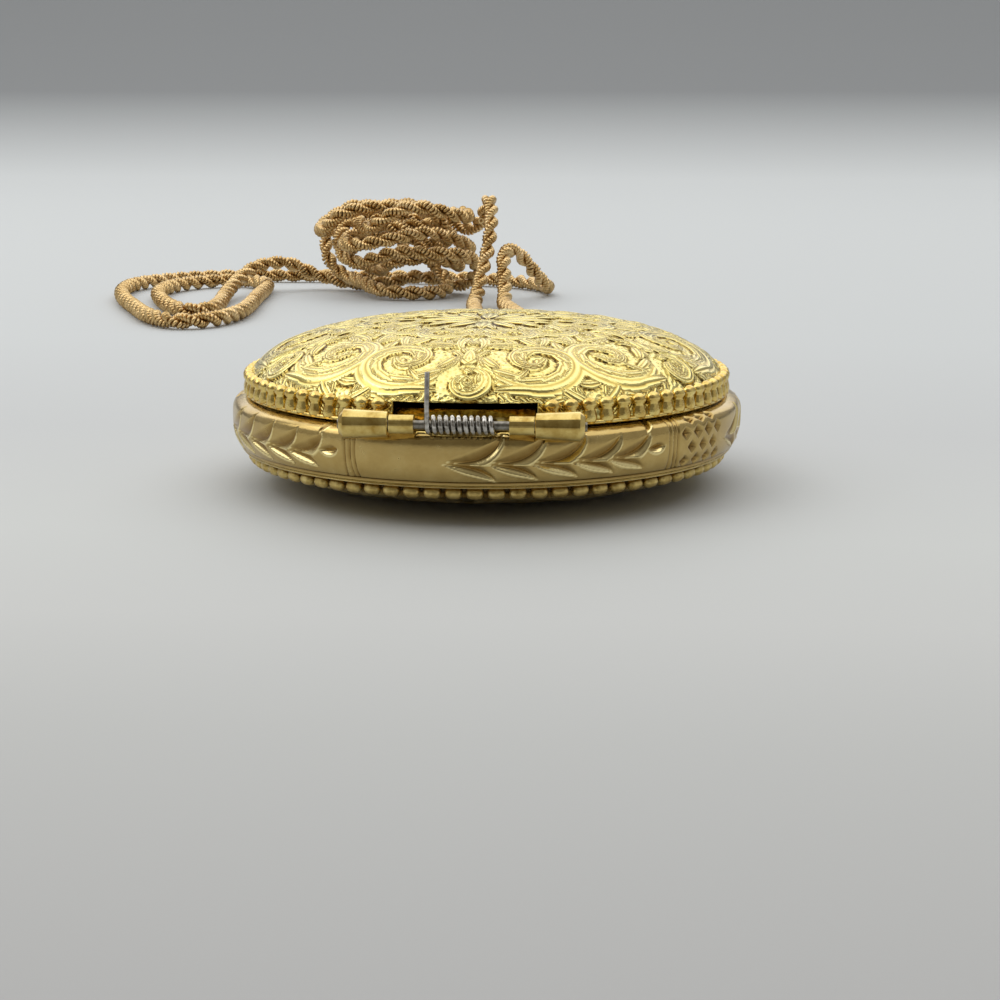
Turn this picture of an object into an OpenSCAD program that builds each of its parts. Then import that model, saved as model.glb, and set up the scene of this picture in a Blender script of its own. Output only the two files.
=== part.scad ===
// Full hunter pendant watch, closed, lying on its case back with its rope chain behind it.
// The origin is on the case axis at the table. The cover hinge faces -Y, crown and bow face +Y.

/* [Case] */
// Radius of the case at the seam between cover and band
case_r = 18.0; // [17.4:0.1:19]
// Height of the seam above the table
seam_z = 6.7; // [6.5:0.05:7.2]
// Open gap between cover and band
seam_gap = 0.3; // [0.2:0.05:0.4]
// Height of the cover above the seam
cover_rise = 5.1; // [4.9:0.1:5.8]
// Wall of the cover
cover_wall = 0.5; // [0.4:0.05:0.6]
// How far the ribbed rim stands out from the cover
rim_proud = 0.4; // [0.3:0.05:0.5]
// Height of the ribbed rim
rim_h = 1.6; // [1.3:0.1:1.8]
// Number of ribs round the cover rim
rib_count = 84; // [60:2:96]
// How far the band bulges past the seam
band_bulge = 0.58; // [0.3:0.02:0.8]
// Depth of the widest line of the band below the seam
band_drop = 1.66; // [1.4:0.02:1.9]
// Height of the split between band and case back
back_split_z = 2.75; // [2.5:0.05:2.9]
// Wall of the case back
back_wall = 0.55; // [0.45:0.05:0.65]
// Radius of the flat that the watch rests on
foot_r = 7.0; // [5:0.5:9]
// Number of beads round the case back
bead_count = 76; // [60:2:84]

/* [Cover hinge] */
// Length of the hinge over its outer knuckles
hinge_len = 15.9; // [14:0.1:17]
// Distance of the hinge pin outside the seam
hinge_out = 0.45; // [0.35:0.05:0.6]
// Height of the hinge pin above the seam
hinge_up = 0.25; // [0.15:0.05:0.35]
// Radius of the hinge pin
pin_r = 0.3; // [0.25:0.01:0.34]
// Length of each outer knuckle
outer_len = 3.2; // [2.8:0.1:3.6]
// Radius of an outer knuckle at its inner end
outer_r = 0.85; // [0.75:0.05:0.9]
// Radius of an outer knuckle at its flared outer end
flare_r = 1.0; // [0.9:0.05:1.1]
// Length of each inner knuckle
inner_len = 1.6; // [1.4:0.1:1.8]
// Radius of an inner knuckle
inner_r = 0.65; // [0.55:0.05:0.7]
// Height of the notch in the cover above the seam
notch_h = 1.45; // [1.3:0.05:1.6]

/* [Cover spring] */
// Wire diameter of the spring
wire_d = 0.32; // [0.26:0.02:0.34]
// Curls of the spring
curls = 5; // [3:1:5]
// Length of the wound part
wound_len = 4.2; // [4:0.1:4.6]
// Height of the upright arm above the hinge pin
arm_h = 3.5; // [2.5:0.1:4]

/* [Glass and dial] */
// Space between the bezel and the cover
bezel_clear = 0.6; // [0.5:0.05:0.8]
// Width of the bezel
bezel_w = 2.5; // [2.3:0.1:2.8]
// Height of the bezel above the band
bezel_h = 1.4; // [1.2:0.1:1.5]
// Thickness of the crystal
crystal_t = 0.6; // [0.5:0.05:0.7]
// Rise of the crystal's dome
crystal_rise = 1.6; // [1.2:0.1:2]
// Thickness of the dial
dial_t = 0.4; // [0.3:0.02:0.42]
// Length of the minute hand
minute_len = 11.2; // [9:0.1:12]
// Length of the hour hand
hour_len = 7.6; // [6:0.1:9]

/* [Movement] */
// Width of the ring that holds the movement
ring_w = 1.95; // [1.8:0.05:2]
// Height of the mainplate's dial side
plate_top = 5.35; // [5.3:0.01:5.4]
// Thickness of the mainplate
plate_t = 1.75; // [1.65:0.05:1.8]
// Thickness of the bridges
bridge_t = 0.82; // [0.7:0.02:0.9]
// Radius of the balance rim
balance_r = 3.8; // [3.4:0.1:3.8]
// Turns of the mainspring
main_turns = 7; // [5:1:8]
// Turns of the hairspring
hair_turns = 8; // [6:1:9]

/* [Winding] */
// Height of the winding stem
stem_z = 4.2; // [4.15:0.01:4.25]
// Radius of the winding stem
stem_r = 0.5; // [0.45:0.01:0.52]
// Radius of the crown
crown_r = 2.6; // [2.4:0.1:2.8]
// Length of the crown
crown_len = 3.4; // [3:0.1:3.8]
// Flutes round the crown
flute_count = 28; // [20:2:36]
// Travel of the crown when pressed
press_travel = 0.4; // [0.3:0.05:0.4]
// Travel of the crown when pulled
pull_travel = 0.8; // [0.6:0.05:0.9]
// Outer radius of the pendant neck
neck_r = 2.0; // [1.9:0.05:2.2]
// How far the pendant neck stands out from the seam
neck_len = 3.4; // [3.2:0.1:3.6]

/* [Bow] */
// Wire radius of the bow
bow_wire_r = 0.75; // [0.6:0.05:0.8]
// Radius of the bow's round end
bow_r = 4.9; // [4.6:0.1:5.4]
// Length of the bow's straight sides
bow_side = 5.5; // [5.3:0.1:6.5]
// Droop of the bow below level, resting on the chain
bow_droop = 5.5; // [5:0.1:6]

/* [Chain] */
// Diameter of the rope chain
chain_d = 2.1; // [1.8:0.05:2.1]

/* [Hidden] */
$fn = 64;
tiny = 0.02;
pin_fit = 0.03;
shaft_fit = 0.03;

// Case levels
cover_z = seam_z + seam_gap / 2;
band_top = seam_z - seam_gap / 2;
cover_r = case_r - rim_proud;
cover_h = cover_rise - seam_gap / 2;
cover_in_r = cover_r - cover_wall;
bulge_r = case_r + band_bulge;
bulge_z = seam_z - band_drop;
shoulder_r = case_r - 2;
case_wall = 3.1;
collar_t = 0.6;
cavity_r = case_r - case_wall;
collar_r = cavity_r + collar_t;
collar_drop = 0.8;
back_step = 0.05;

// The curves of the case, fitted as rounded squares of these powers
cover_pow_r = 3.19;
cover_pow_z = 1.77;
back_pow_r = 3.46;
back_pow_z = 2.69;
shoulder_pow = 4;
curve_steps = 18;

function cover_curve(a, h, t) =
  [a * pow(sin(t), 2 / cover_pow_r), cover_z + h * pow(cos(t), 2 / cover_pow_z)];
function back_curve(t) = [
  bulge_r * pow(sin(t), 2 / back_pow_r),
  bulge_z * (1 - pow(cos(t), 2 / back_pow_z))
];
function shoulder_curve(t) = [
  shoulder_r + (bulge_r - shoulder_r) * pow(cos(t), 2 / shoulder_pow),
  bulge_z + (band_top - bulge_z) * pow(sin(t), 2 / shoulder_pow)
];
function back_angle_at_z(z) = acos(pow(1 - z / bulge_z, back_pow_z / 2));
function back_angle_at_r(r) = asin(pow(r / bulge_r, back_pow_r / 2));
function back_r_at_z(z) = back_curve(back_angle_at_z(z))[0];
function back_z_at_r(r) = back_curve(back_angle_at_r(r))[1];

// Hinge places
hinge_y = -(case_r + hinge_out);
hinge_z = seam_z + hinge_up;
end_gap = 0.05;
outer_x = hinge_len / 2;
outer_in_x = outer_x - outer_len;
inner_x = outer_in_x - end_gap;
inner_in_x = inner_x - inner_len;
pin_end = 0.12;
groove_fit = 0.1;

// Spring places
coil_r = pin_r + shaft_fit + 0.02 + wire_d / 2;
curl_rings = 8;
wire_sides = 6;

// Glass and dial levels
dial_z = band_top - dial_t - 0.05;
dial_r = cavity_r - 0.25;
bezel_r = cover_in_r - bezel_clear;
sight_r = bezel_r - bezel_w;
bezel_top = band_top + bezel_h;
flange_z = band_top + 0.6;
crystal_r = sight_r + 0.5;
crystal_z = flange_z + 0.1;
hour_hand_z = dial_z + dial_t + 0.25;
minute_hand_z = hour_hand_z + 0.32;
hand_t = 0.14;

// Movement levels, the train runs between the plate's sink and the bridges
// The plan is drawn for one radius of the movement and follows another in proportion
drawn_r = 12.95;
move_r = cavity_r - ring_w;
plan = move_r / drawn_r;
plate_bottom = plate_top - plate_t;
sink_z = plate_top - 0.5;
sink_r = 10.85 * plan;
bridge_z = plate_bottom - tiny - bridge_t;
bridge_top = plate_bottom - tiny;
wheel_t = 0.15;
pivot_r = 0.12;
arbor_r = 0.25;
jewel_r = 0.55;
jewel_t = 0.4;

// Tooth sizes of each pair, in millimetres of pitch diameter for a tooth
barrel_mod = 0.126 * plan;
centre_mod = 0.1 * plan;
third_mod = 0.09 * plan;
fourth_mod = 0.085 * plan;
motion_mod = 0.1 * plan;
hour_mod = 0.08 * plan;
barrel_teeth = 78;
centre_leaves = 12;
centre_teeth = 80;
third_leaves = 10;
third_teeth = 75;
fourth_leaves = 10;
fourth_teeth = 80;
escape_leaves = 8;
escape_teeth = 15;
cannon_leaves = 12;
minute_teeth = 36;
minute_leaves = 12;
hour_teeth = 48;
setting_teeth = 40;

function centre_distance(mod, a, b) = mod * (a + b) / 2;
function polar(r, a) = [r * cos(a), r * sin(a)];
function direction(a, b) = atan2(b[1] - a[1], b[0] - a[0]);
// Angle of a tooth on wheel b that meshes with wheel a, whose tooth stands at angle at_a
function mesh_angle(at_a, teeth_a, teeth_b, dir) =
  dir + 180 - (at_a - dir) * teeth_a / teeth_b + 180 / teeth_b;

// Plan of the train
barrel_dir = 150;
third_dir = -90;
fourth_dir = -20;
escape_dir = 55;
barrel_at = polar(centre_distance(barrel_mod, barrel_teeth, centre_leaves), barrel_dir);
third_at = polar(centre_distance(centre_mod, centre_teeth, third_leaves), third_dir);
fourth_at = third_at + polar(centre_distance(third_mod, third_teeth, fourth_leaves), fourth_dir);
escape_at = fourth_at
  + polar(centre_distance(fourth_mod, fourth_teeth, escape_leaves), escape_dir);
balance_at = plan * [6.4, 3.2];
pallet_reach = 2.6 * plan;
pallet_dir = direction(escape_at, balance_at);
pallet_at = escape_at + polar(pallet_reach, pallet_dir);
escape_r = 2.2 * plan;
barrel_phase = barrel_dir + 180;
centre_pinion_phase = mesh_angle(barrel_phase, barrel_teeth, centre_leaves, barrel_dir + 180);
centre_phase = third_dir;
third_pinion_phase = mesh_angle(centre_phase, centre_teeth, third_leaves, third_dir);
third_phase = fourth_dir;
fourth_pinion_phase = mesh_angle(third_phase, third_teeth, fourth_leaves, fourth_dir);
fourth_phase = escape_dir;
escape_pinion_phase = mesh_angle(fourth_phase, fourth_teeth, escape_leaves, escape_dir);

// Plan of the motion work and the setting wheel
minute_dir = 60;
minute_at = polar(centre_distance(motion_mod, cannon_leaves, minute_teeth), minute_dir);
setting_reach = centre_distance(motion_mod, minute_teeth, setting_teeth);
setting_at = [0, minute_at[1] + sqrt(pow(setting_reach, 2) - pow(minute_at[0], 2))];
cannon_phase = minute_dir;
minute_phase = mesh_angle(cannon_phase, cannon_leaves, minute_teeth, minute_dir);
minute_pinion_phase = minute_dir + 180;
hour_phase = mesh_angle(minute_pinion_phase, minute_leaves, hour_teeth, minute_dir + 180);
setting_phase = mesh_angle(
  minute_phase, minute_teeth, setting_teeth, direction(minute_at, setting_at)
);

// Plan of the winding work
crown_wheel_at = plan * [0, 7.2];
crown_wheel_teeth = 26;
ratchet_teeth = 38;
winding_mod = 2 * norm(crown_wheel_at - barrel_at) / (crown_wheel_teeth + ratchet_teeth);
crown_wheel_r = winding_mod * crown_wheel_teeth / 2;
ratchet_r = winding_mod * ratchet_teeth / 2;
winding_z = bridge_z - 0.2;
winding_t = 0.5;
ratchet_phase = direction(barrel_at, crown_wheel_at);
crown_wheel_phase = mesh_angle(ratchet_phase, ratchet_teeth, crown_wheel_teeth, ratchet_phase);
pinion_r = 1.1;
winding_pinion_len = 1.5;
sliding_pinion_y = 7.95 * plan;
sliding_pinion_len = 1.5;
clutch_travel = 0.25;
winding_pinion_y = sliding_pinion_y + sliding_pinion_len + clutch_travel;

// Pendant places
neck_end = case_r + neck_len;
tube_r = neck_r - 0.75;
tube_in = stem_r + 0.12;
catch_y = cover_in_r - 0.15;
tube_start = catch_y + 0.05;
crown_y = neck_end + press_travel + 0.25;
gasket_r = tube_r + 0.45;
bow_pivot_y = case_r + neck_len / 2 + 0.1;
bow_pivot_r = 0.4;
bow_bend = 2.0;

// Chain route: points in millimetres, chosen by hand along the table from the bow to the heap
chain_r = chain_d / 2;
turn_rings = 7;
left_route = [
  [0, 27.9, 3.2], [-1.4, 28.4, 4.5], [-2.3, 30.9, 5.15], [-2.4, 34, 4.3], [-2.6, 38, 2.4],
  [-3.4, 43, 1.25], [-5.2, 54, 1.05], [-6.6, 66, 1.05], [-7.6, 78, 1.05], [-8.8, 90, 1.05],
  [-10.2, 101, 1.05], [-11.2, 109, 1.05], [-11.2, 113.8, 1.9], [-10.9, 117.5, 4.4],
  [-10.3, 120.7, 7.8], [-10.2, 123.8, 11.2], [-10.8, 127.5, 13.4]
];
right_route = [
  [0, 27.9, 3.2], [1.4, 28.4, 1.9], [2.6, 30.8, 1.05], [3.3, 35, 1.05], [3.2, 43, 1.05],
  [1.4, 54, 1.05], [0, 66, 1.05], [-0.8, 78, 1.05], [-2.8, 90, 1.05], [-5.4, 101, 1.05],
  [-7.2, 109, 1.05], [-7.6, 114.2, 2], [-8, 117.7, 4.6], [-8.1, 120.9, 6.8], [-6.6, 123.7, 6.6],
  [-4.6, 125.9, 4], [-3.1, 129.6, 1.6], [-3.5, 134.8, 1.05], [-7.7, 140.8, 1.05], [-15.2, 145, 1.05],
  [-23.9, 146.8, 1.05], [-33, 147.5, 1.05]
];
tail_route = [
  [-33, 147.5, 1.05], [-41.5, 147.9, 1.05], [-50.5, 146.7, 1.05], [-57.6, 142.1, 1.05],
  [-61.7, 134.1, 1.05], [-61.5, 124.6, 1.05], [-58.5, 113.8, 1.05], [-54.2, 103.2, 1.05],
  [-49.9, 93.6, 1.05], [-45.4, 88.2, 1.05], [-41.4, 90.1, 1.05], [-39.6, 97.3, 1.05],
  [-40, 106.9, 1.05], [-41.1, 116.8, 1.05], [-42, 126.8, 1.05], [-43.5, 134.7, 1.05],
  [-47.5, 139.4, 1.05], [-52.6, 137.7, 1.05], [-55.8, 131.2, 1.05], [-55.9, 122.6, 1.05],
  [-53.4, 113.3, 1.05], [-49.9, 104.5, 1.05], [-46.4, 99.3, 1.05], [-44, 101.9, 1.05],
  [-44.4, 109, 1.05], [-45.6, 117.5, 1.2], [-45.7, 125.5, 2.2], [-44, 131, 3.8], [-40.5, 135.2, 4],
  [-36.5, 137.1, 2.2], [-31.6, 136.5, 1.1]
];

heap_points = [
  [-28.2, 136.4, 1.1], [-24.8, 135.9, 1.5], [-21.6, 135.3, 2.2], [-18.3, 134.7, 1.7],
  [-15.3, 133.2, 1.3], [-13.2, 131, 2.6], [-12.7, 128.4, 4.7], [-13.8, 125.4, 5.9],
  [-16.4, 123.4, 6.4], [-19.7, 122.9, 6.5], [-23.1, 123.7, 6.5], [-26.2, 124.6, 5.6],
  [-29.1, 126.2, 4.9], [-31.4, 128.5, 5.9], [-32.1, 130.8, 8.2], [-31.1, 133.7, 9.6],
  [-29, 136.3, 9.4], [-26, 137.4, 8.3], [-22.8, 136.9, 7.4], [-19.7, 135.6, 7],
  [-17.5, 133.1, 7.3], [-16.9, 130.1, 8.8], [-18, 127.9, 11], [-20.8, 126.5, 12.4],
  [-24, 125.4, 12.5], [-27.2, 124.4, 12.5], [-30.5, 124.5, 11.7], [-32.8, 126.1, 10],
  [-34.3, 129, 9.1], [-34.6, 132.3, 9.6], [-33.2, 135.1, 10.9], [-30.5, 136.7, 12.1],
  [-27.2, 137.2, 11.6], [-23.9, 137.3, 10.7], [-20.7, 137.4, 9.7], [-17.6, 137.2, 8.3],
  [-15.2, 135.3, 6.8], [-14, 132.2, 6.5], [-14.4, 129, 7.4], [-16.3, 126.4, 8.4],
  [-18.6, 123.9, 9.1], [-21.1, 121.7, 9], [-24.1, 120.1, 8.4], [-27.4, 120.6, 7.8],
  [-29.8, 122.9, 7.6], [-30.5, 126.2, 7.9], [-29.2, 129.2, 8.8], [-26.3, 130.7, 9.6],
  [-23.2, 131.6, 8.9], [-21.1, 133, 6.6], [-18.9, 132.8, 4], [-17.2, 130.7, 2.1],
  [-16.8, 127.4, 1.2], [-18.4, 124.5, 1.05], [-21.4, 123, 1.1], [-24.7, 123.5, 1.3],
  [-27, 125.9, 1.6], [-28.5, 129, 1.9], [-30.2, 131.9, 2], [-32.5, 134.3, 2.7],
  [-34.6, 135.9, 4.8], [-35, 137.8, 7.5], [-33.3, 139.8, 9.6], [-30.3, 141.1, 10.4],
  [-27.1, 141.3, 9.4], [-24.8, 140.4, 7.1], [-22.7, 138.7, 5], [-19.7, 137.4, 4.6],
  [-16.9, 135.5, 4.3], [-15.5, 132.5, 4.1], [-15.9, 129.2, 4.8], [-18.2, 126.8, 5.4],
  [-21.5, 126.2, 5.4], [-24.5, 127.4, 4.7], [-26.1, 130.2, 3.7], [-26.9, 133.4, 3.3],
  [-29.2, 136, 3.6], [-31.8, 136.8, 4.7], [-30.4, 134.6, 6.7], [-27.8, 133.4, 8.4],
  [-24.7, 134.2, 9.4], [-21.3, 134.4, 9.5], [-18.3, 132.9, 10], [-15.8, 131.1, 11.4],
  [-14, 128.2, 11.4], [-13.7, 124.9, 11.3], [-15.3, 122, 11.8], [-18.3, 120.7, 12.6],
  [-21.7, 120.8, 12.6], [-24.6, 121.4, 11], [-26.8, 123.5, 9.7], [-28.6, 126.3, 10.3],
  [-29, 129.3, 11.7], [-27.7, 132.3, 12.1], [-24.9, 134.2, 12.3], [-21.6, 135.2, 12.2],
  [-18.4, 135.7, 11.2], [-15.8, 134.5, 9.5], [-13.4, 132.2, 9.3], [-11.8, 129.7, 11]
];

// A smooth curve through points, with a number of steps on each stretch
function spline_point(a, b, c, d, t) =
  0.5 * (2 * b + (c - a) * t + (2 * a - 5 * b + 4 * c - d) * t * t
    + (3 * b - a - 3 * c + d) * t * t * t);
function spline(p, steps) = let (n = len(p) - 1)
  [
    for (i = [0:n - 1]) for (k = [0:steps - 1])
      spline_point(p[max(i - 1, 0)], p[i], p[i + 1], p[min(i + 2, n)], k / steps),
    p[n]
  ];
function unit(v) = v / norm(v);
// Direction of a route at a point; an endless route joins its last point to its first
function heading(p, i, endless) = let (n = len(p)) endless
  ? unit(p[(i + 1) % n] - p[(i - 1 + n) % n])
  : unit(p[min(i + 1, n - 1)] - p[max(i - 1, 0)]);
function route_length(p) = let (n = len(p))
  [for (i = [0:n - 1]) norm(p[(i + 1) % n] - p[i])] * [for (i = [0:n - 1]) 1];

// Direction turned square to a heading, and the one carried so along a stretch without twisting
function squared(s, t) = unit(s - (s * t) * t);
function carried(p, first, last, across, endless) = let (n = len(p)) [
  for (i = first, s = unit(cross(across, heading(p, first % n, endless)));
    i <= last;
    i = i + 1, s = squared(s, heading(p, i % n, endless))) s
];

// One tube swept along a stretch of a route, closed at both ends
module tube(p, first, last, r, sides, across = [0, 0, 1], endless = false) {
  rings = last - first + 1;
  n = len(p);
  aside = endless ? carried(p, first, last, across, endless) : [];
  points = [
    for (i = [first:last])
      let (
        t = heading(p, i % n, endless),
        s = endless ? aside[i - first] : unit(cross(across, t)),
        u = cross(t, s)
      )
        for (k = [0:sides - 1])
          p[i % n] + r * (cos(360 * k / sides) * s + sin(360 * k / sides) * u)
  ];
  walls = [
    for (i = [0:rings - 2]) for (k = [0:sides - 1])
      let (a = i * sides + k, b = i * sides + (k + 1) % sides)
        for (f = [[a, a + sides, b + sides], [a, b + sides, b]]) f
  ];
  start_cap = [[for (k = [0:sides - 1]) k]];
  end_cap = [[for (k = [0:sides - 1]) rings * sides - 1 - k]];
  polyhedron(points, concat(start_cap, walls, end_cap), convexity = 10);
}

// Least distance between points of one route that lie more than a few steps apart
function least_gap(p, apart, d) = min([
  for (i = [0:len(p) - 1]) for (k = [i + apart:1:len(p) - 1]) norm(p[i] - p[k])
]) - d;

// Teeth of a wheel as an outline, each a tapered block on the root circle
function tooth_outline(teeth, mod, phase, tip = 0.85, root = 1.1, width = 0.4) =
  let (r = teeth * mod / 2, step = 360 / teeth)
    [
      for (i = [0:teeth - 1]) for (c = [
        [r - root * mod, -0.5 * width * 1.5], [r + tip * mod, -0.5 * width * 0.55],
        [r + tip * mod, 0.5 * width * 0.55], [r - root * mod, 0.5 * width * 1.5]
      ])
        polar(c[0], phase + step * (i + c[1]))
    ];

module pinion(leaves, mod, phase, z, h) {
  translate([0, 0, z])
    linear_extrude(h)
      polygon(tooth_outline(leaves, mod, phase));
}

// A wheel with arms between its rim and hub
module spoked_wheel(teeth, mod, phase, z, h, hub, arms) {
  rim_in = teeth * mod / 2 - 0.45;
  translate([0, 0, z])
    linear_extrude(h) {
      difference() {
        polygon(tooth_outline(teeth, mod, phase));
        circle(r = rim_in);
      }
      circle(r = hub);
      for (i = [0:arms - 1])
        rotate(i * 360 / arms)
          translate([0, -0.16])
            square([rim_in + 0.1, 0.32]);
    }
}

module arbor(z_low, z_high) {
  translate([0, 0, z_low])
    cylinder(r = pivot_r, h = z_high - z_low);
  translate([0, 0, bridge_top + tiny])
    cylinder(r = arbor_r, h = sink_z - bridge_top - 2 * tiny);
}

// Ring between two radii
module ring(r_out, r_in, z, h) {
  translate([0, 0, z])
    difference() {
      cylinder(r = r_out, h = h);
      translate([0, 0, -1])
        cylinder(r = r_in, h = h + 2);
    }
}

// Round bar along X through the hinge line
module hinge_bar(r, x0, x1) {
  translate([x0, hinge_y, hinge_z])
    rotate([0, 90, 0])
      cylinder(r = r, h = x1 - x0);
}

module along_stem(r, y0, y1) {
  translate([0, y1, stem_z])
    rotate([90, 0, 0])
      cylinder(r = r, h = y1 - y0);
}

module cover_shell() {
  outer = [for (i = [0:curve_steps]) cover_curve(cover_r, cover_h, 90 * i / curve_steps)];
  inner = [
    for (i = [curve_steps:-1:0])
      cover_curve(cover_in_r, cover_h - cover_wall, 90 * i / curve_steps)
  ];
  rotate_extrude()
    polygon(concat(outer, inner));
}

module cover_ribs() {
  rib_r = 0.46;
  intersection() {
    translate([0, 0, cover_z])
      linear_extrude(rim_h)
        difference() {
          union() {
            circle(r = case_r - rib_r * 0.6);
            for (i = [0:rib_count - 1])
              rotate((i + 0.5) * 360 / rib_count)
                translate([case_r - rib_r, 0])
                  circle(r = rib_r, $fn = 16);
          }
          circle(r = cover_in_r + 0.1);
        }
    rotate_extrude()
      polygon([
        [cover_in_r, cover_z - 1], [case_r + 1, cover_z - 1], [case_r + 1, cover_z + rim_h * 0.7],
        [case_r - 0.1, cover_z + rim_h * 0.85], [case_r - 0.4, cover_z + rim_h],
        [cover_in_r, cover_z + rim_h]
      ]);
  }
}

module outer_knuckle() {
  chamfer = 0.3;
  translate([outer_in_x, hinge_y, hinge_z])
    rotate([0, 90, 0])
      rotate_extrude()
        polygon([
          [0, 0], [outer_r, 0], [flare_r, outer_len - chamfer], [flare_r - chamfer, outer_len],
          [0, outer_len]
        ]);
  difference() {
    translate([outer_in_x, hinge_y, cover_z])
      cube([outer_len - chamfer, case_r * 0.2, hinge_up + outer_r * 0.5]);
    translate([0, 0, cover_z - 1])
      cylinder(r = cover_in_r + 0.05, h = 4);
  }
}

module front_cover() {
  lip_r = cover_in_r - 0.2;
  color("goldenrod")
    difference() {
      union() {
        cover_shell();
        cover_ribs();
        outer_knuckle();
        mirror([1, 0, 0])
          outer_knuckle();
        intersection() {
          ring(cover_in_r + 0.1, lip_r, cover_z, 0.2);
          translate([-2, 0, cover_z])
            cube([4, case_r, 1]);
        }
      }
      translate([-outer_in_x, hinge_y - 2, cover_z - 1])
        cube([2 * outer_in_x, 6, 1 + notch_h - seam_gap / 2]);
      hinge_bar(pin_r + pin_fit, -outer_x - 1, outer_x + 1);
    }
}

module mid_case() {
  a0 = back_angle_at_z(back_split_z + back_step);
  low = [for (i = [0:8]) back_curve(a0 + (90 - a0) * i / 8)];
  high = [for (i = [1:8]) shoulder_curve(90 * i / 8)];
  color("gold")
    difference() {
      union() {
        rotate_extrude()
          polygon(concat(
            [[cavity_r, back_split_z - collar_drop], [collar_r, back_split_z - collar_drop],
              [collar_r, back_split_z + back_step]],
            low, high, [[cavity_r, band_top]]
          ));
        ring(cavity_r + 1, cavity_r + 0.5, band_top - 0.1, 0.65);
        for (s = [-1, 1])
          translate([s * (inner_x + inner_in_x) / 2, 0, 0])
            inner_knuckle();
        difference() {
          along_stem(neck_r, case_r - 1.2, neck_end);
          translate([0, 0, -1])
            cylinder(r = bulge_r + back_step, h = back_split_z + back_step + 1);
        }
      }
      for (s = [0, 1])
        mirror([s, 0, 0])
          hinge_bar(flare_r + groove_fit, inner_x, outer_x + groove_fit);
      hinge_bar(coil_r + wire_d / 2 + groove_fit, -inner_in_x, inner_in_x);
      hinge_bar(pin_r + shaft_fit, -outer_x - 1, outer_x + 1);
      along_stem(tube_r + shaft_fit, cavity_r - 1, neck_end + 1);
      translate([-1.75, cavity_r - 1, stem_z + stem_r + 0.1])
        cube([3.5, catch_y + 0.25 - cavity_r + 1, 4]);
      catch_spring_channel();
      for (s = [-1, 1])
        translate([s * neck_r, bow_pivot_y, stem_z])
          rotate([0, 90, 0])
            cylinder(r = bow_pivot_r + pin_fit, h = 1, center = true);
    }
}

module inner_knuckle() {
  translate([-inner_len / 2, 0, 0])
    hinge_bar(inner_r, 0, inner_len);
  translate([-inner_len / 2, hinge_y - inner_r * 0.5, bulge_z + 0.3])
    cube([inner_len, 1.9, hinge_z - bulge_z - 0.3]);
}

module catch_spring_channel() {
  translate([0, 0, band_top - 1.1])
    linear_extrude(0.9)
      difference() {
        intersection() {
          circle(r = catch_y - 0.35);
          polygon([
            [-0.5, 0], [-0.5, case_r], [-case_r, case_r], [-case_r, 0], polar(catch_y, 150)
          ]);
        }
        circle(r = cavity_r - 1);
      }
}

module case_back() {
  a0 = back_angle_at_r(foot_r + 1.5);
  a1 = back_angle_at_z(back_split_z);
  outer = [for (i = [0:14]) back_curve(a0 + (a1 - a0) * i / 14)];
  seat_r = collar_r + 0.05;
  seat_z = back_z_at_r(seat_r) + back_wall;
  a2 = back_angle_at_r(seat_r);
  inner = [
    for (i = [10:-1:0])
      let (p = back_curve(a0 + (a2 - a0) * i / 10)) [p[0], p[1] + back_wall]
  ];
  bead_z = back_split_z - 0.5;
  bead_r = 0.52;
  bead_at = back_r_at_z(bead_z) - 0.36;
  color("darkgoldenrod") {
    difference() {
      union() {
        rotate_extrude()
          polygon(concat(
            [[0, 0], [foot_r, 0]], outer, [[seat_r, back_split_z], [seat_r, seat_z]], inner,
            [[0, back_wall]]
          ));
        for (i = [0:bead_count - 1])
          rotate((i + 0.5) * 360 / bead_count)
            translate([bead_at, 0, bead_z])
              sphere(r = bead_r, $fn = 16);
      }
      translate([0, 0, back_split_z])
        cylinder(r = bulge_r + 1, h = 1);
    }
  }
}

module hinge_pin() {
  color("slategray")
    hinge_bar(pin_r, -outer_x - pin_end, outer_x + pin_end);
}

// Spring: a foot on the band, even curls round the pin, and an arm up in front of the cover
spring_steps = curls * curl_rings;
spring_route = concat(
  [
    [wound_len / 2 + 0.05, hinge_y + 1.4, band_top + wire_d / 2 + tiny],
    [wound_len / 2 + 0.04, hinge_y + 0.76, band_top + wire_d / 2 + tiny]
  ],
  [
    for (i = [0:spring_steps])
      let (a = -90 - 360 * i / curl_rings)
        [
          wound_len / 2 - wound_len * i / spring_steps,
          hinge_y + coil_r * cos(a), hinge_z + coil_r * sin(a)
        ]
  ],
  [
    [-wound_len / 2 - 0.12, hinge_y - coil_r * 0.85, hinge_z - coil_r * 0.7],
    [-wound_len / 2 - 0.25, hinge_y - coil_r * 1.1, hinge_z + 0.15],
    [-wound_len / 2 - 0.25, hinge_y - coil_r * 1.15, hinge_z + 0.9],
    [-wound_len / 2 - 0.2, hinge_y - coil_r, hinge_z + arm_h]
  ]
);

module cover_spring() {
  color("silver")
    tube(spring_route, 0, len(spring_route) - 1, wire_d / 2, wire_sides, [1, 0, 0.001]);
  echo(spring_least_gap = least_gap(spring_route, curl_rings - 2, wire_d));
}

module bezel() {
  collar_gap = 0.05;
  color("gold")
    difference() {
      rotate_extrude()
        polygon([
          [sight_r, crystal_z + crystal_t + tiny], [sight_r, bezel_top],
          [sight_r + 0.9, bezel_top], [bezel_r - 0.4, bezel_top - 0.35],
          [bezel_r, flange_z], [bezel_r, band_top + tiny],
          [cavity_r + 1 + collar_gap, band_top + tiny],
          [cavity_r + 1 + collar_gap, flange_z], [crystal_r + 0.05, flange_z],
          [crystal_r + 0.05, crystal_z + crystal_t + tiny]
        ]);
      translate([-1.8, catch_y - 0.8 - press_travel, band_top - 1])
        cube([3.6, 2, 4]);
    }
}

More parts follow.
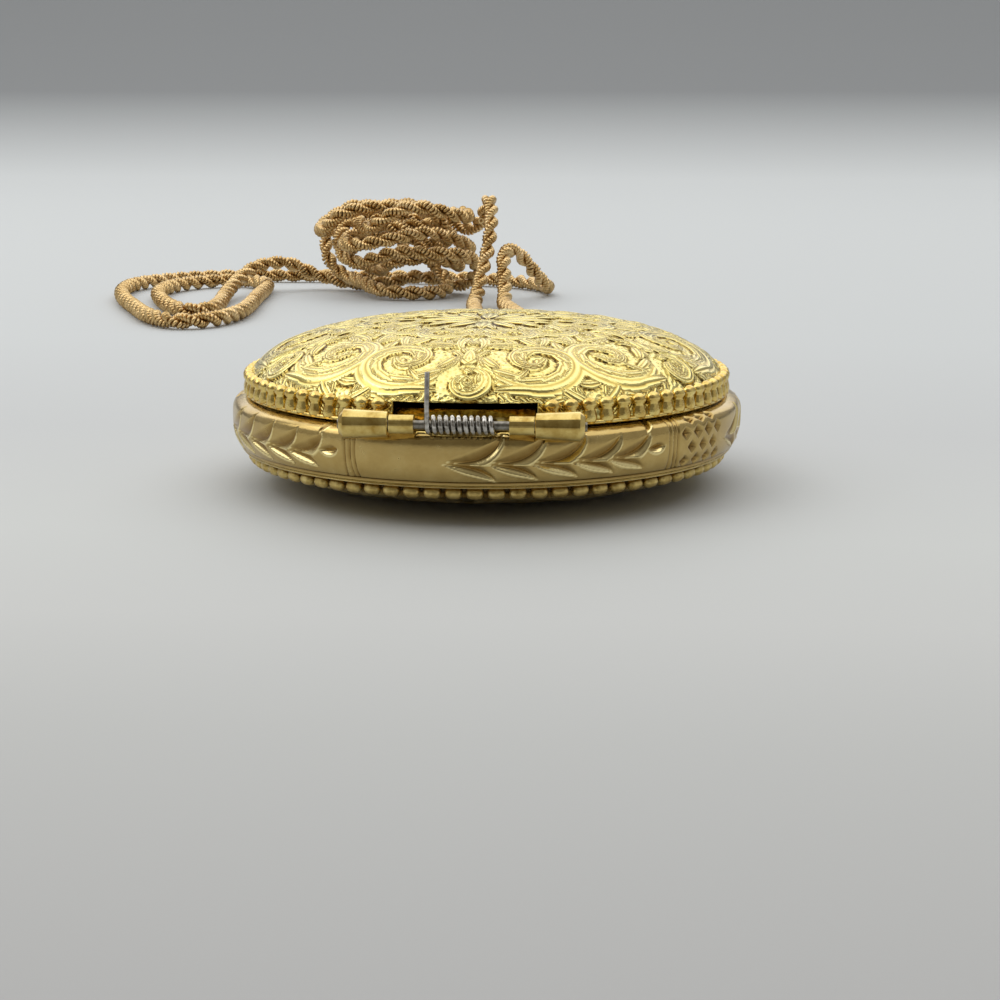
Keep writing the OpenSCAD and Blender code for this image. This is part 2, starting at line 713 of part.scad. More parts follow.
module crystal() {
  steps = 10;
  outer = [
    for (i = [0:steps]) let (t = 90 * i / steps)
      [sight_r * sin(t) - 0.05 * sin(t), crystal_z + crystal_t + crystal_rise * (cos(t) * 0.6
        + 0.4 * cos(t) * cos(t))]
  ];
  inner = [
    for (i = [steps:-1:0]) let (t = 90 * i / steps)
      [(sight_r - 0.55) * sin(t), crystal_z + crystal_rise * (cos(t) * 0.6
        + 0.4 * cos(t) * cos(t))]
  ];
  color([0.85, 0.92, 0.95, 0.4])
    rotate_extrude()
      polygon(concat(
        outer, [[crystal_r, crystal_z + crystal_t], [crystal_r, crystal_z]], inner
      ));
}

module dial() {
  color("ivory")
    ring(dial_r, 1.0, dial_z, dial_t);
}

module hour_markers() {
  color("goldenrod")
    for (i = [0:11])
      rotate(i * 30)
        translate([-0.25, sight_r * 0.78, dial_z + dial_t])
          cube([0.5, sight_r * 0.13, 0.15]);
}

// Spade hand: a slim blade with a round boss and a leaf near its tip
module spade_hand(z, boss, bore, length) {
  translate([0, 0, z])
    linear_extrude(hand_t)
      difference() {
        union() {
          circle(r = boss);
          polygon([[-0.22, 0], [0.22, 0], [0.14, length * 0.72], [-0.14, length * 0.72]]);
          translate([0, length * 0.72])
            circle(r = length * 0.055);
          polygon([
            [-length * 0.05, length * 0.74], [length * 0.05, length * 0.74], [0, length]
          ]);
        }
        circle(r = bore);
      }
}

module hour_hand() {
  color("midnightblue")
    rotate(55)
      spade_hand(hour_hand_z, 1.15, 0.8 + tiny, hour_len);
}

module minute_hand() {
  color("midnightblue")
    rotate(-60)
      spade_hand(minute_hand_z, 0.8, 0.45 + tiny, minute_len);
}

module movement_ring() {
  color("tan")
    difference() {
      ring(cavity_r - 0.1, move_r + 0.05, plate_bottom - 0.3, dial_z - tiny - plate_bottom + 0.3);
      along_stem(stem_r + 0.3, move_r - 1, cavity_r + 1);
    }
}

module mainplate() {
  color("silver")
    difference() {
      translate([0, 0, plate_bottom])
        cylinder(r = move_r, h = plate_t);
      translate([0, 0, plate_bottom - 1])
        cylinder(r = sink_r, h = sink_z - plate_bottom + 1);
      cylinder(r = 0.6, h = 10);
      for (p = [third_at, fourth_at, escape_at, pallet_at, balance_at])
        translate([p[0], p[1], 0])
          cylinder(r = pivot_r + shaft_fit, h = 10);
      for (p = [barrel_at])
        translate([p[0], p[1], 0])
          cylinder(r = 0.5 + shaft_fit, h = 10);
      along_stem(stem_r + shaft_fit, sink_r - 1, move_r + 1);
      translate([-1.5, sliding_pinion_y - clutch_travel - 0.2, plate_bottom - 1])
        cube([3, winding_pinion_y + winding_pinion_len + 0.1 - sliding_pinion_y + clutch_travel
          + 0.2, 4]);
      for (a = screw_angles)
        rotate(a)
          translate([screw_at, 0, plate_bottom - 1])
            cylinder(r = screw_r + tiny, h = 2.2);
    }
  color("silver")
    for (p = [minute_at, setting_at])
      translate([p[0], p[1], sink_z + 0.1])
        cylinder(r = 0.3, h = plate_top - sink_z + 0.45);
}

// Bridges are cut from one disc, by straight sides that part them
screw_at = 11.9 * plan;
screw_r = 0.4;
over = move_r + 1;
screw_angles = [128, 176, 222, 268, 322, 24];

module bridge_blank(outline) {
  difference() {
    translate([0, 0, bridge_z])
      linear_extrude(bridge_t)
        intersection() {
          circle(r = move_r);
          polygon(outline);
        }
    for (a = screw_angles)
      rotate(a)
        translate([screw_at, 0, 0])
          cylinder(r = screw_r + tiny, h = 10);
  }
}

module barrel_bridge() {
  color("silver")
    difference() {
      bridge_blank([
        [-over, -1.3 * plan], [1.9 * plan, -1.3 * plan], [1.9 * plan, over], [-over, over]
      ]);
      cylinder(r = pivot_r + shaft_fit, h = 10);
      translate([barrel_at[0], barrel_at[1], 0]) {
        cylinder(r = 0.5 + shaft_fit, h = 10);
        translate([0, 0, bridge_z - 1])
          cylinder(r = ratchet_r + 0.4, h = 1 + winding_z + winding_t - bridge_z + 0.05);
      }
      translate([crown_wheel_at[0], crown_wheel_at[1], bridge_z - 1])
        ring(crown_wheel_r + 0.4, 0.6, 0, 1 + winding_z + winding_t - bridge_z + 0.05);
      translate([-1.4, sliding_pinion_y - clutch_travel - 0.2, bridge_z + 0.3])
        cube([2.8, winding_pinion_y + winding_pinion_len + 0.1 - sliding_pinion_y
          + clutch_travel + 0.2, 4]);
    }
}

module train_bridge() {
  color("silver")
    difference() {
      bridge_blank([
        [-over, -1.7 * plan], [over, -1.7 * plan], [over, -over], [-over, -over]
      ]);
      for (p = [third_at, fourth_at, escape_at])
        translate([p[0], p[1], 0])
          cylinder(r = jewel_r + tiny, h = 10);
    }
}

module pallet_cock() {
  post = plan * [9.3, -0.4];
  color("silver")
    difference() {
      union() {
        translate([pallet_at[0], pallet_at[1], bridge_z + 0.3])
          cylinder(r = 0.6, h = 0.4);
        translate([post[0], post[1], bridge_z + 0.3])
          cylinder(r = 0.6, h = sink_z - tiny - bridge_z - 0.3);
        translate([pallet_at[0], (pallet_at[1] + post[1]) / 2 - 0.3, bridge_z + 0.3])
          cube([post[0] - pallet_at[0], 0.6, 0.4]);
      }
      translate([pallet_at[0], pallet_at[1], 0])
        cylinder(r = pivot_r + shaft_fit, h = 10);
    }
}

cock_z = 1.4;
cock_t = 0.62;
foot_at = plan * [11.0, 5.4];

module balance_cock() {
  color("silver")
    difference() {
      union() {
        translate([balance_at[0], balance_at[1], cock_z])
          cylinder(r = 1.3, h = cock_t);
        hull() {
          translate([balance_at[0], balance_at[1], cock_z])
            cylinder(r = 0.9, h = cock_t, $fn = 24);
          translate([foot_at[0], foot_at[1], cock_z])
            cylinder(r = 1.3, h = cock_t, $fn = 24);
        }
        intersection() {
          cylinder(r = move_r, h = 10);
          translate([foot_at[0] - 0.45, foot_at[1] - 1.5, cock_z])
            cube([3, 3, plate_bottom - tiny - cock_z]);
        }
      }
      translate([balance_at[0], balance_at[1], 0])
        cylinder(r = jewel_r + tiny, h = 10);
      rotate(screw_angles[5])
        translate([screw_at, 0, -1])
          cylinder(r = screw_r + tiny, h = 10);
    }
}

module screw(z) {
  difference() {
    union() {
      translate([0, 0, z - 0.3])
        cylinder(r = 0.8, h = 0.3 - tiny);
      translate([0, 0, z - 0.1])
        cylinder(r = screw_r - tiny, h = plate_bottom + 1 - z);
    }
    translate([-1, -0.12, z - 0.5])
      cube([2, 0.24, 0.3]);
  }
}

module bridge_screws() {
  color("steelblue")
    for (i = [0:len(screw_angles) - 1])
      rotate(screw_angles[i])
        translate([screw_at, 0, 0])
          screw(i == 5 ? cock_z : bridge_z);
}

module jewels() {
  color("crimson") {
    for (p = [third_at, fourth_at, escape_at])
      translate([p[0], p[1], 0])
        ring(jewel_r, pivot_r + shaft_fit, bridge_z + 0.1, jewel_t);
    translate([balance_at[0], balance_at[1], 0])
      ring(jewel_r, pivot_r + shaft_fit, cock_z + 0.1, jewel_t);
  }
}

barrel_z = plate_bottom + 0.1;
barrel_h = 0.65;
drum_r = barrel_teeth * barrel_mod / 2 - 0.25;

module barrel() {
  color("gold")
    translate([barrel_at[0], barrel_at[1], barrel_z])
      difference() {
        union() {
          linear_extrude(0.2)
            polygon(tooth_outline(barrel_teeth, barrel_mod, barrel_phase));
          cylinder(r = drum_r, h = barrel_h);
        }
        translate([0, 0, 0.15])
          cylinder(r = drum_r - 0.3, h = barrel_h - 0.25);
        translate([0, 0, -1])
          cylinder(r = 0.5 + shaft_fit, h = 3);
      }
}

// Flat strip wound in a spiral, as an outline
function spiral(r0, r1, turns, t, steps) = concat(
  [
    for (i = [0:turns * steps])
      polar(r0 + (r1 - r0) * i / (turns * steps), 360 * i / steps)
  ],
  [
    for (i = [turns * steps:-1:0])
      polar(r0 + t + (r1 - r0) * i / (turns * steps), 360 * i / steps)
  ]
);

module mainspring() {
  color("steelblue")
    translate([barrel_at[0], barrel_at[1], barrel_z + 0.18])
      linear_extrude(barrel_h - 0.33)
        polygon(spiral(1.05, drum_r - 0.45, main_turns, 0.1, 20));
}

module barrel_arbor() {
  color("slategray")
    translate([barrel_at[0], barrel_at[1], 0]) {
      translate([0, 0, winding_z + winding_t])
        cylinder(r = 0.5, h = plate_top - winding_z - winding_t - 0.1);
      translate([0, 0, barrel_z + 0.18])
        cylinder(r = 1.0, h = barrel_h - 0.33);
      translate([0, 0, winding_z + tiny])
        cylinder(r = 0.4, h = 1);
    }
}

module ratchet_wheel() {
  color("gainsboro")
    translate([barrel_at[0], barrel_at[1], 0]) {
      difference() {
        pinion(ratchet_teeth, winding_mod, ratchet_phase, winding_z, winding_t - tiny);
        cylinder(r = 0.4 + tiny, h = 10);
      }
      translate([0, 0, winding_z - 0.3])
        cylinder(r = 0.9, h = 0.3);
    }
}

module crown_wheel() {
  color("gainsboro")
    translate([crown_wheel_at[0], crown_wheel_at[1], 0])
      difference() {
        pinion(crown_wheel_teeth, winding_mod, crown_wheel_phase, winding_z, winding_t - tiny);
        cylinder(r = 0.6 + shaft_fit, h = 10);
      }
}

click_at = plan * [-9.9, -0.4];

module click() {
  tooth = direction(click_at, barrel_at);
  reach = norm(barrel_at - click_at) - ratchet_r - 1.1 * winding_mod / 2 - 0.12;
  color("slategray")
    translate([click_at[0], click_at[1], winding_z - 0.28]) {
      cylinder(r = 0.55, h = 0.4);
      rotate(tooth)
        linear_extrude(0.4)
          polygon([[0, -0.45], [reach - 0.3, -0.3], [reach, 0.05], [0, 0.45]]);
    }
}

module centre_wheel() {
  color("gold") {
    difference() {
      union() {
        spoked_wheel(centre_teeth, centre_mod, centre_phase, sink_z - 0.35, wheel_t, 0.9, 5);
        translate([0, 0, sink_z - 0.35])
          cylinder(r = 0.34, h = minute_hand_z - 0.3 - sink_z + 0.35);
        pinion(centre_leaves, barrel_mod, centre_pinion_phase, bridge_top + 0.05,
          sink_z - 0.35 - bridge_top - 0.05 + tiny);
      }
    }
    translate([0, 0, bridge_z + 0.05])
      cylinder(r = pivot_r, h = bridge_t + 0.2);
  }
}

wheel_low = plate_bottom + 0.15;

module third_wheel() {
  color("gold")
    translate([third_at[0], third_at[1], 0]) {
      spoked_wheel(third_teeth, third_mod, third_phase, wheel_low, wheel_t, 0.6, 4);
      pinion(third_leaves, centre_mod, third_pinion_phase, sink_z - 0.45, 0.35);
      arbor(bridge_z + 0.1, plate_top - 0.1);
    }
}

fourth_z = plate_bottom + 0.6;

module fourth_wheel() {
  color("gold")
    translate([fourth_at[0], fourth_at[1], 0]) {
      spoked_wheel(fourth_teeth, fourth_mod, fourth_phase, fourth_z, wheel_t, 0.6, 4);
      pinion(fourth_leaves, third_mod, fourth_pinion_phase, bridge_top + 0.05, 0.4);
      arbor(bridge_z + 0.1, plate_top - 0.1);
    }
}

// Club teeth that lean forward, on a light rim
module escape_wheel() {
  color("lightsteelblue")
    translate([escape_at[0], escape_at[1], 0]) {
      translate([0, 0, wheel_low])
        linear_extrude(wheel_t) {
          difference() {
            union() {
              circle(r = escape_r - 0.55);
              for (i = [0:escape_teeth - 1])
                rotate(i * 360 / escape_teeth)
                  polygon([
                    [escape_r - 0.65, -0.12], [escape_r - 0.02, 0.16], [escape_r, 0.34],
                    [escape_r - 0.12, 0.36], [escape_r - 0.65, 0.14]
                  ]);
            }
            circle(r = escape_r - 0.85);
          }
          circle(r = 0.45);
          for (i = [0:3])
            rotate(i * 90)
              translate([0, -0.12])
                square([escape_r - 0.8, 0.24]);
        }
      pinion(escape_leaves, fourth_mod, escape_pinion_phase, fourth_z - 0.1, 0.35);
      arbor(bridge_z + 0.1, plate_top - 0.1);
    }
}

// Anchor with two pallet arms that clear the wheel, and a forked lever
module pallet_fork() {
  fork_len = norm(balance_at - pallet_at) - 0.85;
  color("slategray")
    translate([pallet_at[0], pallet_at[1], 0]) {
      rotate(pallet_dir)
        translate([0, 0, wheel_low])
          linear_extrude(wheel_t) {
            circle(r = 0.4);
            difference() {
              polygon([
                [0, -0.2], [fork_len - 0.5, -0.14], [fork_len, -0.4], [fork_len, 0.4],
                [fork_len - 0.5, 0.14], [0, 0.2]
              ]);
              translate([fork_len - 0.3, -0.16])
                square([1, 0.32]);
            }
            for (s = [-1, 1])
              polygon([
                [0.2, 0], [0, s * 0.3], [-0.6, s * 1.5], [-0.75, s * 1.5], [-0.3, 0]
              ]);
          }
      arbor(bridge_z + 0.35, plate_top - 0.1);
    }
}

balance_z = plate_bottom - 1.15;
roller_z = wheel_low - 0.25;

module balance_wheel() {
  color("gold")
    translate([balance_at[0], balance_at[1], 0]) {
      ring(balance_r, balance_r - 0.5, balance_z, 0.4);
      translate([0, 0, balance_z + 0.1])
        linear_extrude(0.2) {
          circle(r = 0.7);
          for (i = [0:2])
            rotate(i * 120 + 40)
              translate([0, -0.2])
                square([balance_r - 0.3, 0.4]);
        }
      translate([0, 0, cock_z + 0.1])
        cylinder(r = pivot_r, h = plate_top - 0.1 - cock_z - 0.1);
      translate([0, 0, cock_z + cock_t + 0.1])
        cylinder(r = 0.3, h = sink_z - cock_z - cock_t - 0.15);
      translate([0, 0, roller_z])
        cylinder(r = 1.0, h = 0.12);
      rotate(pallet_dir + 180)
        translate([0.75, 0, roller_z])
          cylinder(r = 0.12, h = 0.2);
      for (i = [0:9])
        rotate(i * 36)
          translate([balance_r - 0.1, 0, balance_z + 0.2])
            rotate([0, 90, 0])
              cylinder(r = 0.15, h = 0.3, $fn = 16);
    }
}

module hairspring() {
  color("steelblue")
    translate([balance_at[0], balance_at[1], balance_z - 0.25])
      linear_extrude(0.15)
        polygon(spiral(0.45, 2.6, hair_turns, 0.06, 20));
}

motion_z = plate_top + 0.07;

module cannon_pinion() {
  color("gainsboro")
    difference() {
      union() {
        translate([0, 0, motion_z])
          linear_extrude(0.2)
            polygon(tooth_outline(cannon_leaves, motion_mod, cannon_phase));
        translate([0, 0, motion_z])
          cylinder(r = 0.45, h = minute_hand_z + hand_t + 0.12 - motion_z);
      }
      translate([0, 0, motion_z - 1])
        cylinder(r = 0.34 + tiny, h = minute_hand_z - 0.25 - motion_z + 1);
    }
}

module minute_wheel() {
  color("gold")
    translate([minute_at[0], minute_at[1], 0])
      difference() {
        union() {
          pinion(minute_teeth, motion_mod, minute_phase, motion_z, 0.18);
          pinion(minute_leaves, hour_mod, minute_pinion_phase, motion_z + 0.1, 0.5);
        }
        cylinder(r = 0.3 + shaft_fit, h = 10);
      }
}

module hour_wheel() {
  color("gold")
    difference() {
      union() {
        pinion(hour_teeth, hour_mod, hour_phase, motion_z + 0.3, 0.2);
        translate([0, 0, motion_z + 0.3])
          cylinder(r = 0.8, h = hour_hand_z + hand_t + 0.06 - motion_z - 0.3);
      }
      cylinder(r = 0.45 + shaft_fit, h = 12);
    }
}

module setting_wheel() {
  color("gold")
    translate([setting_at[0], setting_at[1], 0])
      difference() {
        pinion(setting_teeth, motion_mod, setting_phase, motion_z, 0.18);
        cylinder(r = 0.3 + shaft_fit, h = 10);
      }
}

// Toothed sleeve on the stem: leaves round it and pointed teeth on the end that meets its mate
module stem_pinion(y, length, bore) {
  translate([0, y + length, stem_z])
    rotate([90, 0, 0])
      difference() {
        union() {
          linear_extrude(length * 0.45)
            polygon(tooth_outline(14, 2 * pinion_r / 15.7, 90));
          cylinder(r = pinion_r * 0.78, h = length);
        }
        translate([0, 0, -1])
          cylinder(r = bore, h = length + 2);
      }
}

module winding_pinion() {
  color("gainsboro")
    stem_pinion(winding_pinion_y, winding_pinion_len, stem_r + shaft_fit);
}

module sliding_pinion() {
  color("gainsboro")
    mirror([0, 1, 0])
      translate([0, -2 * sliding_pinion_y - sliding_pinion_len, 0])
        stem_pinion(sliding_pinion_y, sliding_pinion_len, stem_r + shaft_fit);
}

// The clutch lever's finger lies beside the sliding pinion's waist
module clutch_lever() {
  waist = pinion_r * 0.78 + 0.05;
  color("slategray")
    difference() {
      translate([-2.6, sliding_pinion_y + sliding_pinion_len * 0.6, sink_z - 0.5])
        cube([2.6 - 0.3, 0.4, 0.3]);
      along_stem(waist, sliding_pinion_y - 1, sliding_pinion_y + sliding_pinion_len + 1);
    }
}

lever_at = plan * [2.9, 9.4];

module setting_lever() {
  color("slategray")
    translate([lever_at[0], lever_at[1], sink_z - 0.4]) {
      cylinder(r = 0.5, h = 0.35);
      translate([-0.9, 0.2, 0])
        cube([0.7, 0.7, 0.35]);
      translate([-0.5, -0.3, 0])
        cube([0.8, 0.9, 0.35]);
    }
}

module winding_stem() {
  color("slategray")
    along_stem(stem_r, sliding_pinion_y - 0.1 + clutch_travel, crown_y + crown_len - 1.3);
}

module crown() {
  flute_r = 0.17;
  color("gold")
    difference() {
      translate([0, crown_y + crown_len, stem_z])
        rotate([90, 0, 0])
          intersection() {
            linear_extrude(crown_len)
              difference() {
                circle(r = crown_r);
                for (i = [0:flute_count - 1])
                  rotate(i * 360 / flute_count)
                    translate([crown_r + 0.03, 0])
                      circle(r = flute_r, $fn = 16);
              }
            rotate_extrude()
              polygon([
                [0, 0], [crown_r * 0.55, 0.0], [crown_r * 0.88, 0.35], [crown_r, 0.8],
                [crown_r, crown_len - 0.4], [crown_r - 0.35, crown_len], [0, crown_len]
              ]);
          }
      along_stem(gasket_r + tiny, crown_y - 1, crown_y + crown_len - 1.5);
      along_stem(stem_r + 0.005, crown_y - 1, crown_y + crown_len - 1.3 + tiny);
    }
}

module push_tube() {
  color("goldenrod")
    difference() {
      along_stem(tube_r, tube_start, crown_y + crown_len - 2.6);
      along_stem(tube_in, tube_start - 1, crown_y + crown_len);
    }
}

module crown_gasket() {
  color("black")
    difference() {
      along_stem(gasket_r, crown_y + 0.2, crown_y + 0.9);
      along_stem(tube_r + shaft_fit, crown_y - 1, crown_y + 2);
    }
}

module cover_catch() {
  hook_y = catch_y - 0.7;
  nose_r = cover_in_r - 0.3;
  hook_top = cover_z + 0.85;
  color("silver") {
    translate([-1.6, hook_y - 0.5, stem_z + stem_r + 0.15])
      cube([3.2, catch_y - hook_y + 0.5, band_top - 0.1 - stem_z - stem_r - 0.15]);
    intersection() {
      translate([-1.6, hook_y, band_top - 0.2])
        cube([3.2, 1, hook_top - band_top + 0.2]);
      union() {
        cylinder(r = catch_y - 0.35, h = 12);
        translate([0, 0, cover_z + 0.25])
          cylinder(r = nose_r, h = 12);
      }
    }
  }
}

module catch_spring() {
  spring_r = catch_y - 0.85;
  color("lightsteelblue")
    translate([0, 0, band_top - 1])
      linear_extrude(0.7)
        intersection() {
          difference() {
            circle(r = spring_r);
            circle(r = spring_r - 0.25);
          }
          polygon([
            [-1.75, case_r - 8], [-1.75, case_r], [-case_r, case_r], polar(case_r + 2, 145),
            polar(case_r - 5, 145)
          ]);
        }
}

// Stirrup bow: two straight sides, a round end, and bent feet whose ends enter the neck
module bow() {
  foot_x = neck_r + 0.12;
  color("goldenrod")
    translate([0, bow_pivot_y, stem_z])
      rotate([-bow_droop, 0, 0]) {
        translate([0, bow_bend + bow_side, 0])
          rotate_extrude(angle = 180)
            translate([bow_r, 0])
              circle(r = bow_wire_r);
        for (s = [0, 1])
          mirror([s, 0, 0]) {
            translate([bow_r, bow_bend, 0])
              rotate([-90, 0, 0])
                cylinder(r = bow_wire_r, h = bow_side);
            translate([bow_r - bow_bend, bow_bend, 0])
              rotate(-90)
                rotate_extrude(angle = 90)
                  translate([bow_bend, 0])
                    circle(r = bow_wire_r);
            translate([foot_x, 0, 0])
              rotate([0, 90, 0])
                cylinder(r = bow_wire_r, h = bow_r - bow_bend - foot_x);
            translate([neck_r - 0.45, 0, 0])
              rotate([0, 90, 0])
                cylinder(r = bow_pivot_r, h = 1.2);
          }
      }
}

// The whole chain as one endless route: heap top, left strand, bow, right strand, tail, heap
function laid(p) = [for (q = p) [q[0], q[1], max(q[2], chain_r)]];
function shifted(p, first, last) = [for (i = [first:last]) p[i]];
curve_detail = 2;
heap_route = laid(spline(heap_points, curve_detail));
left_curve = laid(spline(concat(left_route, [heap_route[len(heap_route) - 1]]), curve_detail));
right_curve = laid(spline(right_route, curve_detail));
tail_curve = laid(spline(concat(tail_route, [heap_route[0]]), curve_detail));
left_n = len(left_curve) - 1;
right_n = len(right_curve) - 1;
tail_n = len(tail_curve) - 1;
heap_n = len(heap_route) - 1;
chain_route = concat(
  [for (i = [left_n:-1:0]) left_curve[i]], shifted(right_curve, 1, right_n),
  shifted(tail_curve, 1, tail_n), shifted(heap_route, 1, heap_n - 1)
);
turn_cut = 8;

module chain_stretch(first, last, sides = 8) {
  color("peru")
    tube(chain_route, first, last, chain_r, sides, endless = true);
}

module chain_turn() {
  chain_stretch(left_n - turn_cut, left_n + turn_cut);
}

module chain_left_strand() {
  chain_stretch(0, left_n - turn_cut);
}

module chain_right_strand() {
  chain_stretch(left_n + turn_cut, left_n + right_n);
}

module chain_tail() {
  chain_stretch(left_n + right_n, left_n + right_n + tail_n);
}

module chain_heap() {
  chain_stretch(left_n + right_n + tail_n, len(chain_route), 6);
  echo(heap_least_gap = least_gap(heap_route, 12, chain_d));
  echo(chain_length = route_length(chain_route));
}

front_cover();
mid_case();
case_back();
hinge_pin();
cover_spring();
bezel();
crystal();
dial();
hour_markers();
hour_hand();
minute_hand();
movement_ring();
mainplate();
barrel_bridge();
train_bridge();
pallet_cock();
balance_cock();
bridge_screws();
jewels();
barrel();
mainspring();
barrel_arbor();
ratchet_wheel();
crown_wheel();
click();
centre_wheel();
third_wheel();
fourth_wheel();
escape_wheel();
pallet_fork();
balance_wheel();
hairspring();
cannon_pinion();
minute_wheel();
hour_wheel();
setting_wheel();
winding_pinion();
sliding_pinion();
clutch_lever();
setting_lever();
winding_stem();
crown();
push_tube();
crown_gasket();
cover_catch();
catch_spring();
bow();
chain_turn();
chain_left_strand();
chain_right_strand();
chain_tail();
chain_heap();
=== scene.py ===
import math

import bmesh
import bpy
import numpy as np
from mathutils import Euler, Matrix, Vector


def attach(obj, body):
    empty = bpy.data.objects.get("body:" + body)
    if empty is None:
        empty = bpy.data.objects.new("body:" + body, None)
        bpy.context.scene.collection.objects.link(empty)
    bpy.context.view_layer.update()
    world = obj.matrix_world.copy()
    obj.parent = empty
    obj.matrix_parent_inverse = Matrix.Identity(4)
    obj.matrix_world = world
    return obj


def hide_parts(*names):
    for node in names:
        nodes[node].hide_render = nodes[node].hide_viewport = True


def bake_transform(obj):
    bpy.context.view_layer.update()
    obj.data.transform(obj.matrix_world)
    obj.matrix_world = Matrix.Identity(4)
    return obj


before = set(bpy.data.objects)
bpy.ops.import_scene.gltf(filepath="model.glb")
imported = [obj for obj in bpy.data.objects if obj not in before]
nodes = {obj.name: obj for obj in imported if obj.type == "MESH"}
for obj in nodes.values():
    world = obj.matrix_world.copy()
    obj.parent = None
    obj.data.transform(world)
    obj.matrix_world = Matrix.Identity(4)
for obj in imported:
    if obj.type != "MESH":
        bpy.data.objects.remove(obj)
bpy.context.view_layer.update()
scene = bpy.context.scene
scene.view_settings.view_transform = "Standard"
mm = 0.001  # every size below is in millimetres unless it says metres
print("frame loaded")


def addObject(name, data):
    thing = bpy.data.objects.new(name, data)
    scene.collection.objects.link(thing)
    return thing


# Camera, fitted to the photograph's edges
photoView = {"place": (12.4, -141.9, 27.96), "pitch": 11.8, "turn": 4.602, "lens": 70.4}
cameraData = bpy.data.cameras.new("photoCamera")
cameraData.lens = photoView["lens"]
cameraData.sensor_width = 36
cameraData.clip_start = 0.01
cameraData.clip_end = 20
camera = addObject("photoCamera", cameraData)
camera.location = Vector(photoView["place"]) * mm
camera.rotation_euler = Euler(
    (math.radians(90 - photoView["pitch"]), 0, math.radians(photoView["turn"]))
)
scene.camera = camera


# Small tools for meshes


def finishPiece(name, bm, body, material, sharpAngle=None):
    bm.normal_update()
    return linkPiece(name, meshFrom(bm, name), body, material, sharpAngle)


def linkPiece(name, mesh, body, material, sharpAngle=None):
    mesh.shade_smooth()
    if sharpAngle:
        mesh.set_sharp_from_angle(angle=math.radians(sharpAngle))
    mesh.materials.clear()
    mesh.materials.append(bpy.data.materials[material])
    piece = addObject(name, mesh)
    if body:
        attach(piece, body)
    return piece


def lathe(profile, steps, centre=(0, 0, 0), axis=(0, 0, 1), closed=False):
    # one wedge is spun, and then set down all the way round
    wedges = next(n for n in (30, 24, 20, 12, 10, 4, 1) if steps % n == 0) if steps > 60 else 1
    bm = bmesh.new()
    verts = [bm.verts.new(Vector(p) * mm) for p in profile]
    edges = [bm.edges.new(pair) for pair in zip(verts, verts[1:])]
    if closed:
        edges.append(bm.edges.new((verts[-1], verts[0])))
    bmesh.ops.spin(
        bm,
        geom=verts + edges,
        cent=Vector(centre) * mm,
        axis=axis,
        angle=math.tau / wedges,
        steps=steps // wedges,
        use_merge=wedges == 1,
    )
    if wedges > 1:
        wedge = meshFrom(bm, "wedge")
        turns = [Matrix.Rotation(math.tau * k / wedges, 4, axis) for k in range(wedges)]
        bm = copies(wedge, turns)
    bmesh.ops.remove_doubles(bm, verts=bm.verts, dist=5e-7)
    bmesh.ops.recalc_face_normals(bm, faces=bm.faces)
    return bm


def copies(shape, places, batch=60):
    # one small mesh set down at many places, a batch at a time
    bm = bmesh.new()
    if len(places) > batch:
        for k in range(0, len(places), batch):
            part = meshFrom(copies(shape, places[k : k + batch]), "batch")
            bm.from_mesh(part)
            bpy.data.meshes.remove(part)
        return bm
    for place in places:
        shape.transform(place)
        bm.from_mesh(shape)
        shape.transform(place.inverted())
    return bm


def meshFrom(bm, name):
    mesh = bpy.data.meshes.new(name)
    bm.to_mesh(mesh)
    bm.free()
    return mesh


def evenCurve(points, count):
    # the same curve with its points the same distance apart
    points = np.array(points, float)
    along = np.concatenate([[0], np.cumsum(np.linalg.norm(np.diff(points, axis=0), axis=1))])
    at = np.linspace(0, along[-1], count)
    return np.stack([np.interp(at, along, points[:, k]) for k in range(points.shape[1])], 1), at


def cutAway(mesh, low, high):
    # the mesh less a box, its cut edges closed
    block = bmesh.new()
    bmesh.ops.create_cube(block, size=1)
    size, middle = Vector(high) - Vector(low), (Vector(high) + Vector(low)) / 2
    block.transform(Matrix.Translation(middle * mm) @ Matrix.Diagonal(size * mm).to_4x4())
    cutter = addObject("cutter", meshFrom(block, "cutter"))
    holder = addObject("holder", mesh)
    cut = holder.modifiers.new("cut", "BOOLEAN")
    cut.operation = "DIFFERENCE"
    cut.object = cutter
    graph = bpy.context.evaluated_depsgraph_get()
    made = bpy.data.meshes.new_from_object(
        holder.evaluated_get(graph), preserve_all_data_layers=True, depsgraph=graph
    )
    for item in (cutter, holder):
        bpy.data.objects.remove(item)
    made.name = mesh.name
    return made


# Materials


def linear(hexColour):
    # sRGB hex to the linear values that the shader works in
    parts = [int(hexColour[k : k + 2], 16) / 255 for k in (1, 3, 5)]
    return [c / 12.92 if c <= 0.04045 else ((c + 0.055) / 1.055) ** 2.4 for c in parts] + [1]


def addNode(tree, kind, settings=None, values=None, links=None):
    node = tree.nodes.new(kind)
    for key, value in (settings or {}).items():
        setattr(node, key, value)
    for key, value in (values or {}).items():
        node.inputs[key].default_value = value
    for key, socket in (links or {}).items():
        tree.links.new(socket, node.inputs[key])
    return node


def addMath(tree, operation, *inputs):
    # each input is a number or another node's socket
    sockets = {k: v for k, v in enumerate(inputs) if isinstance(v, bpy.types.NodeSocket)}
    numbers = {k: v for k, v in enumerate(inputs) if k not in sockets}
    return addNode(tree, "ShaderNodeMath", {"operation": operation}, numbers, sockets).outputs[0]


def addNoise(tree, place, size, detail, roughness=0.5):
    values = {"Scale": 1 / (size * mm), "Detail": detail, "Roughness": roughness}
    return addNode(
        tree, "ShaderNodeTexNoise", values=values, links={"Vector": place}
    ).outputs["Fac"]


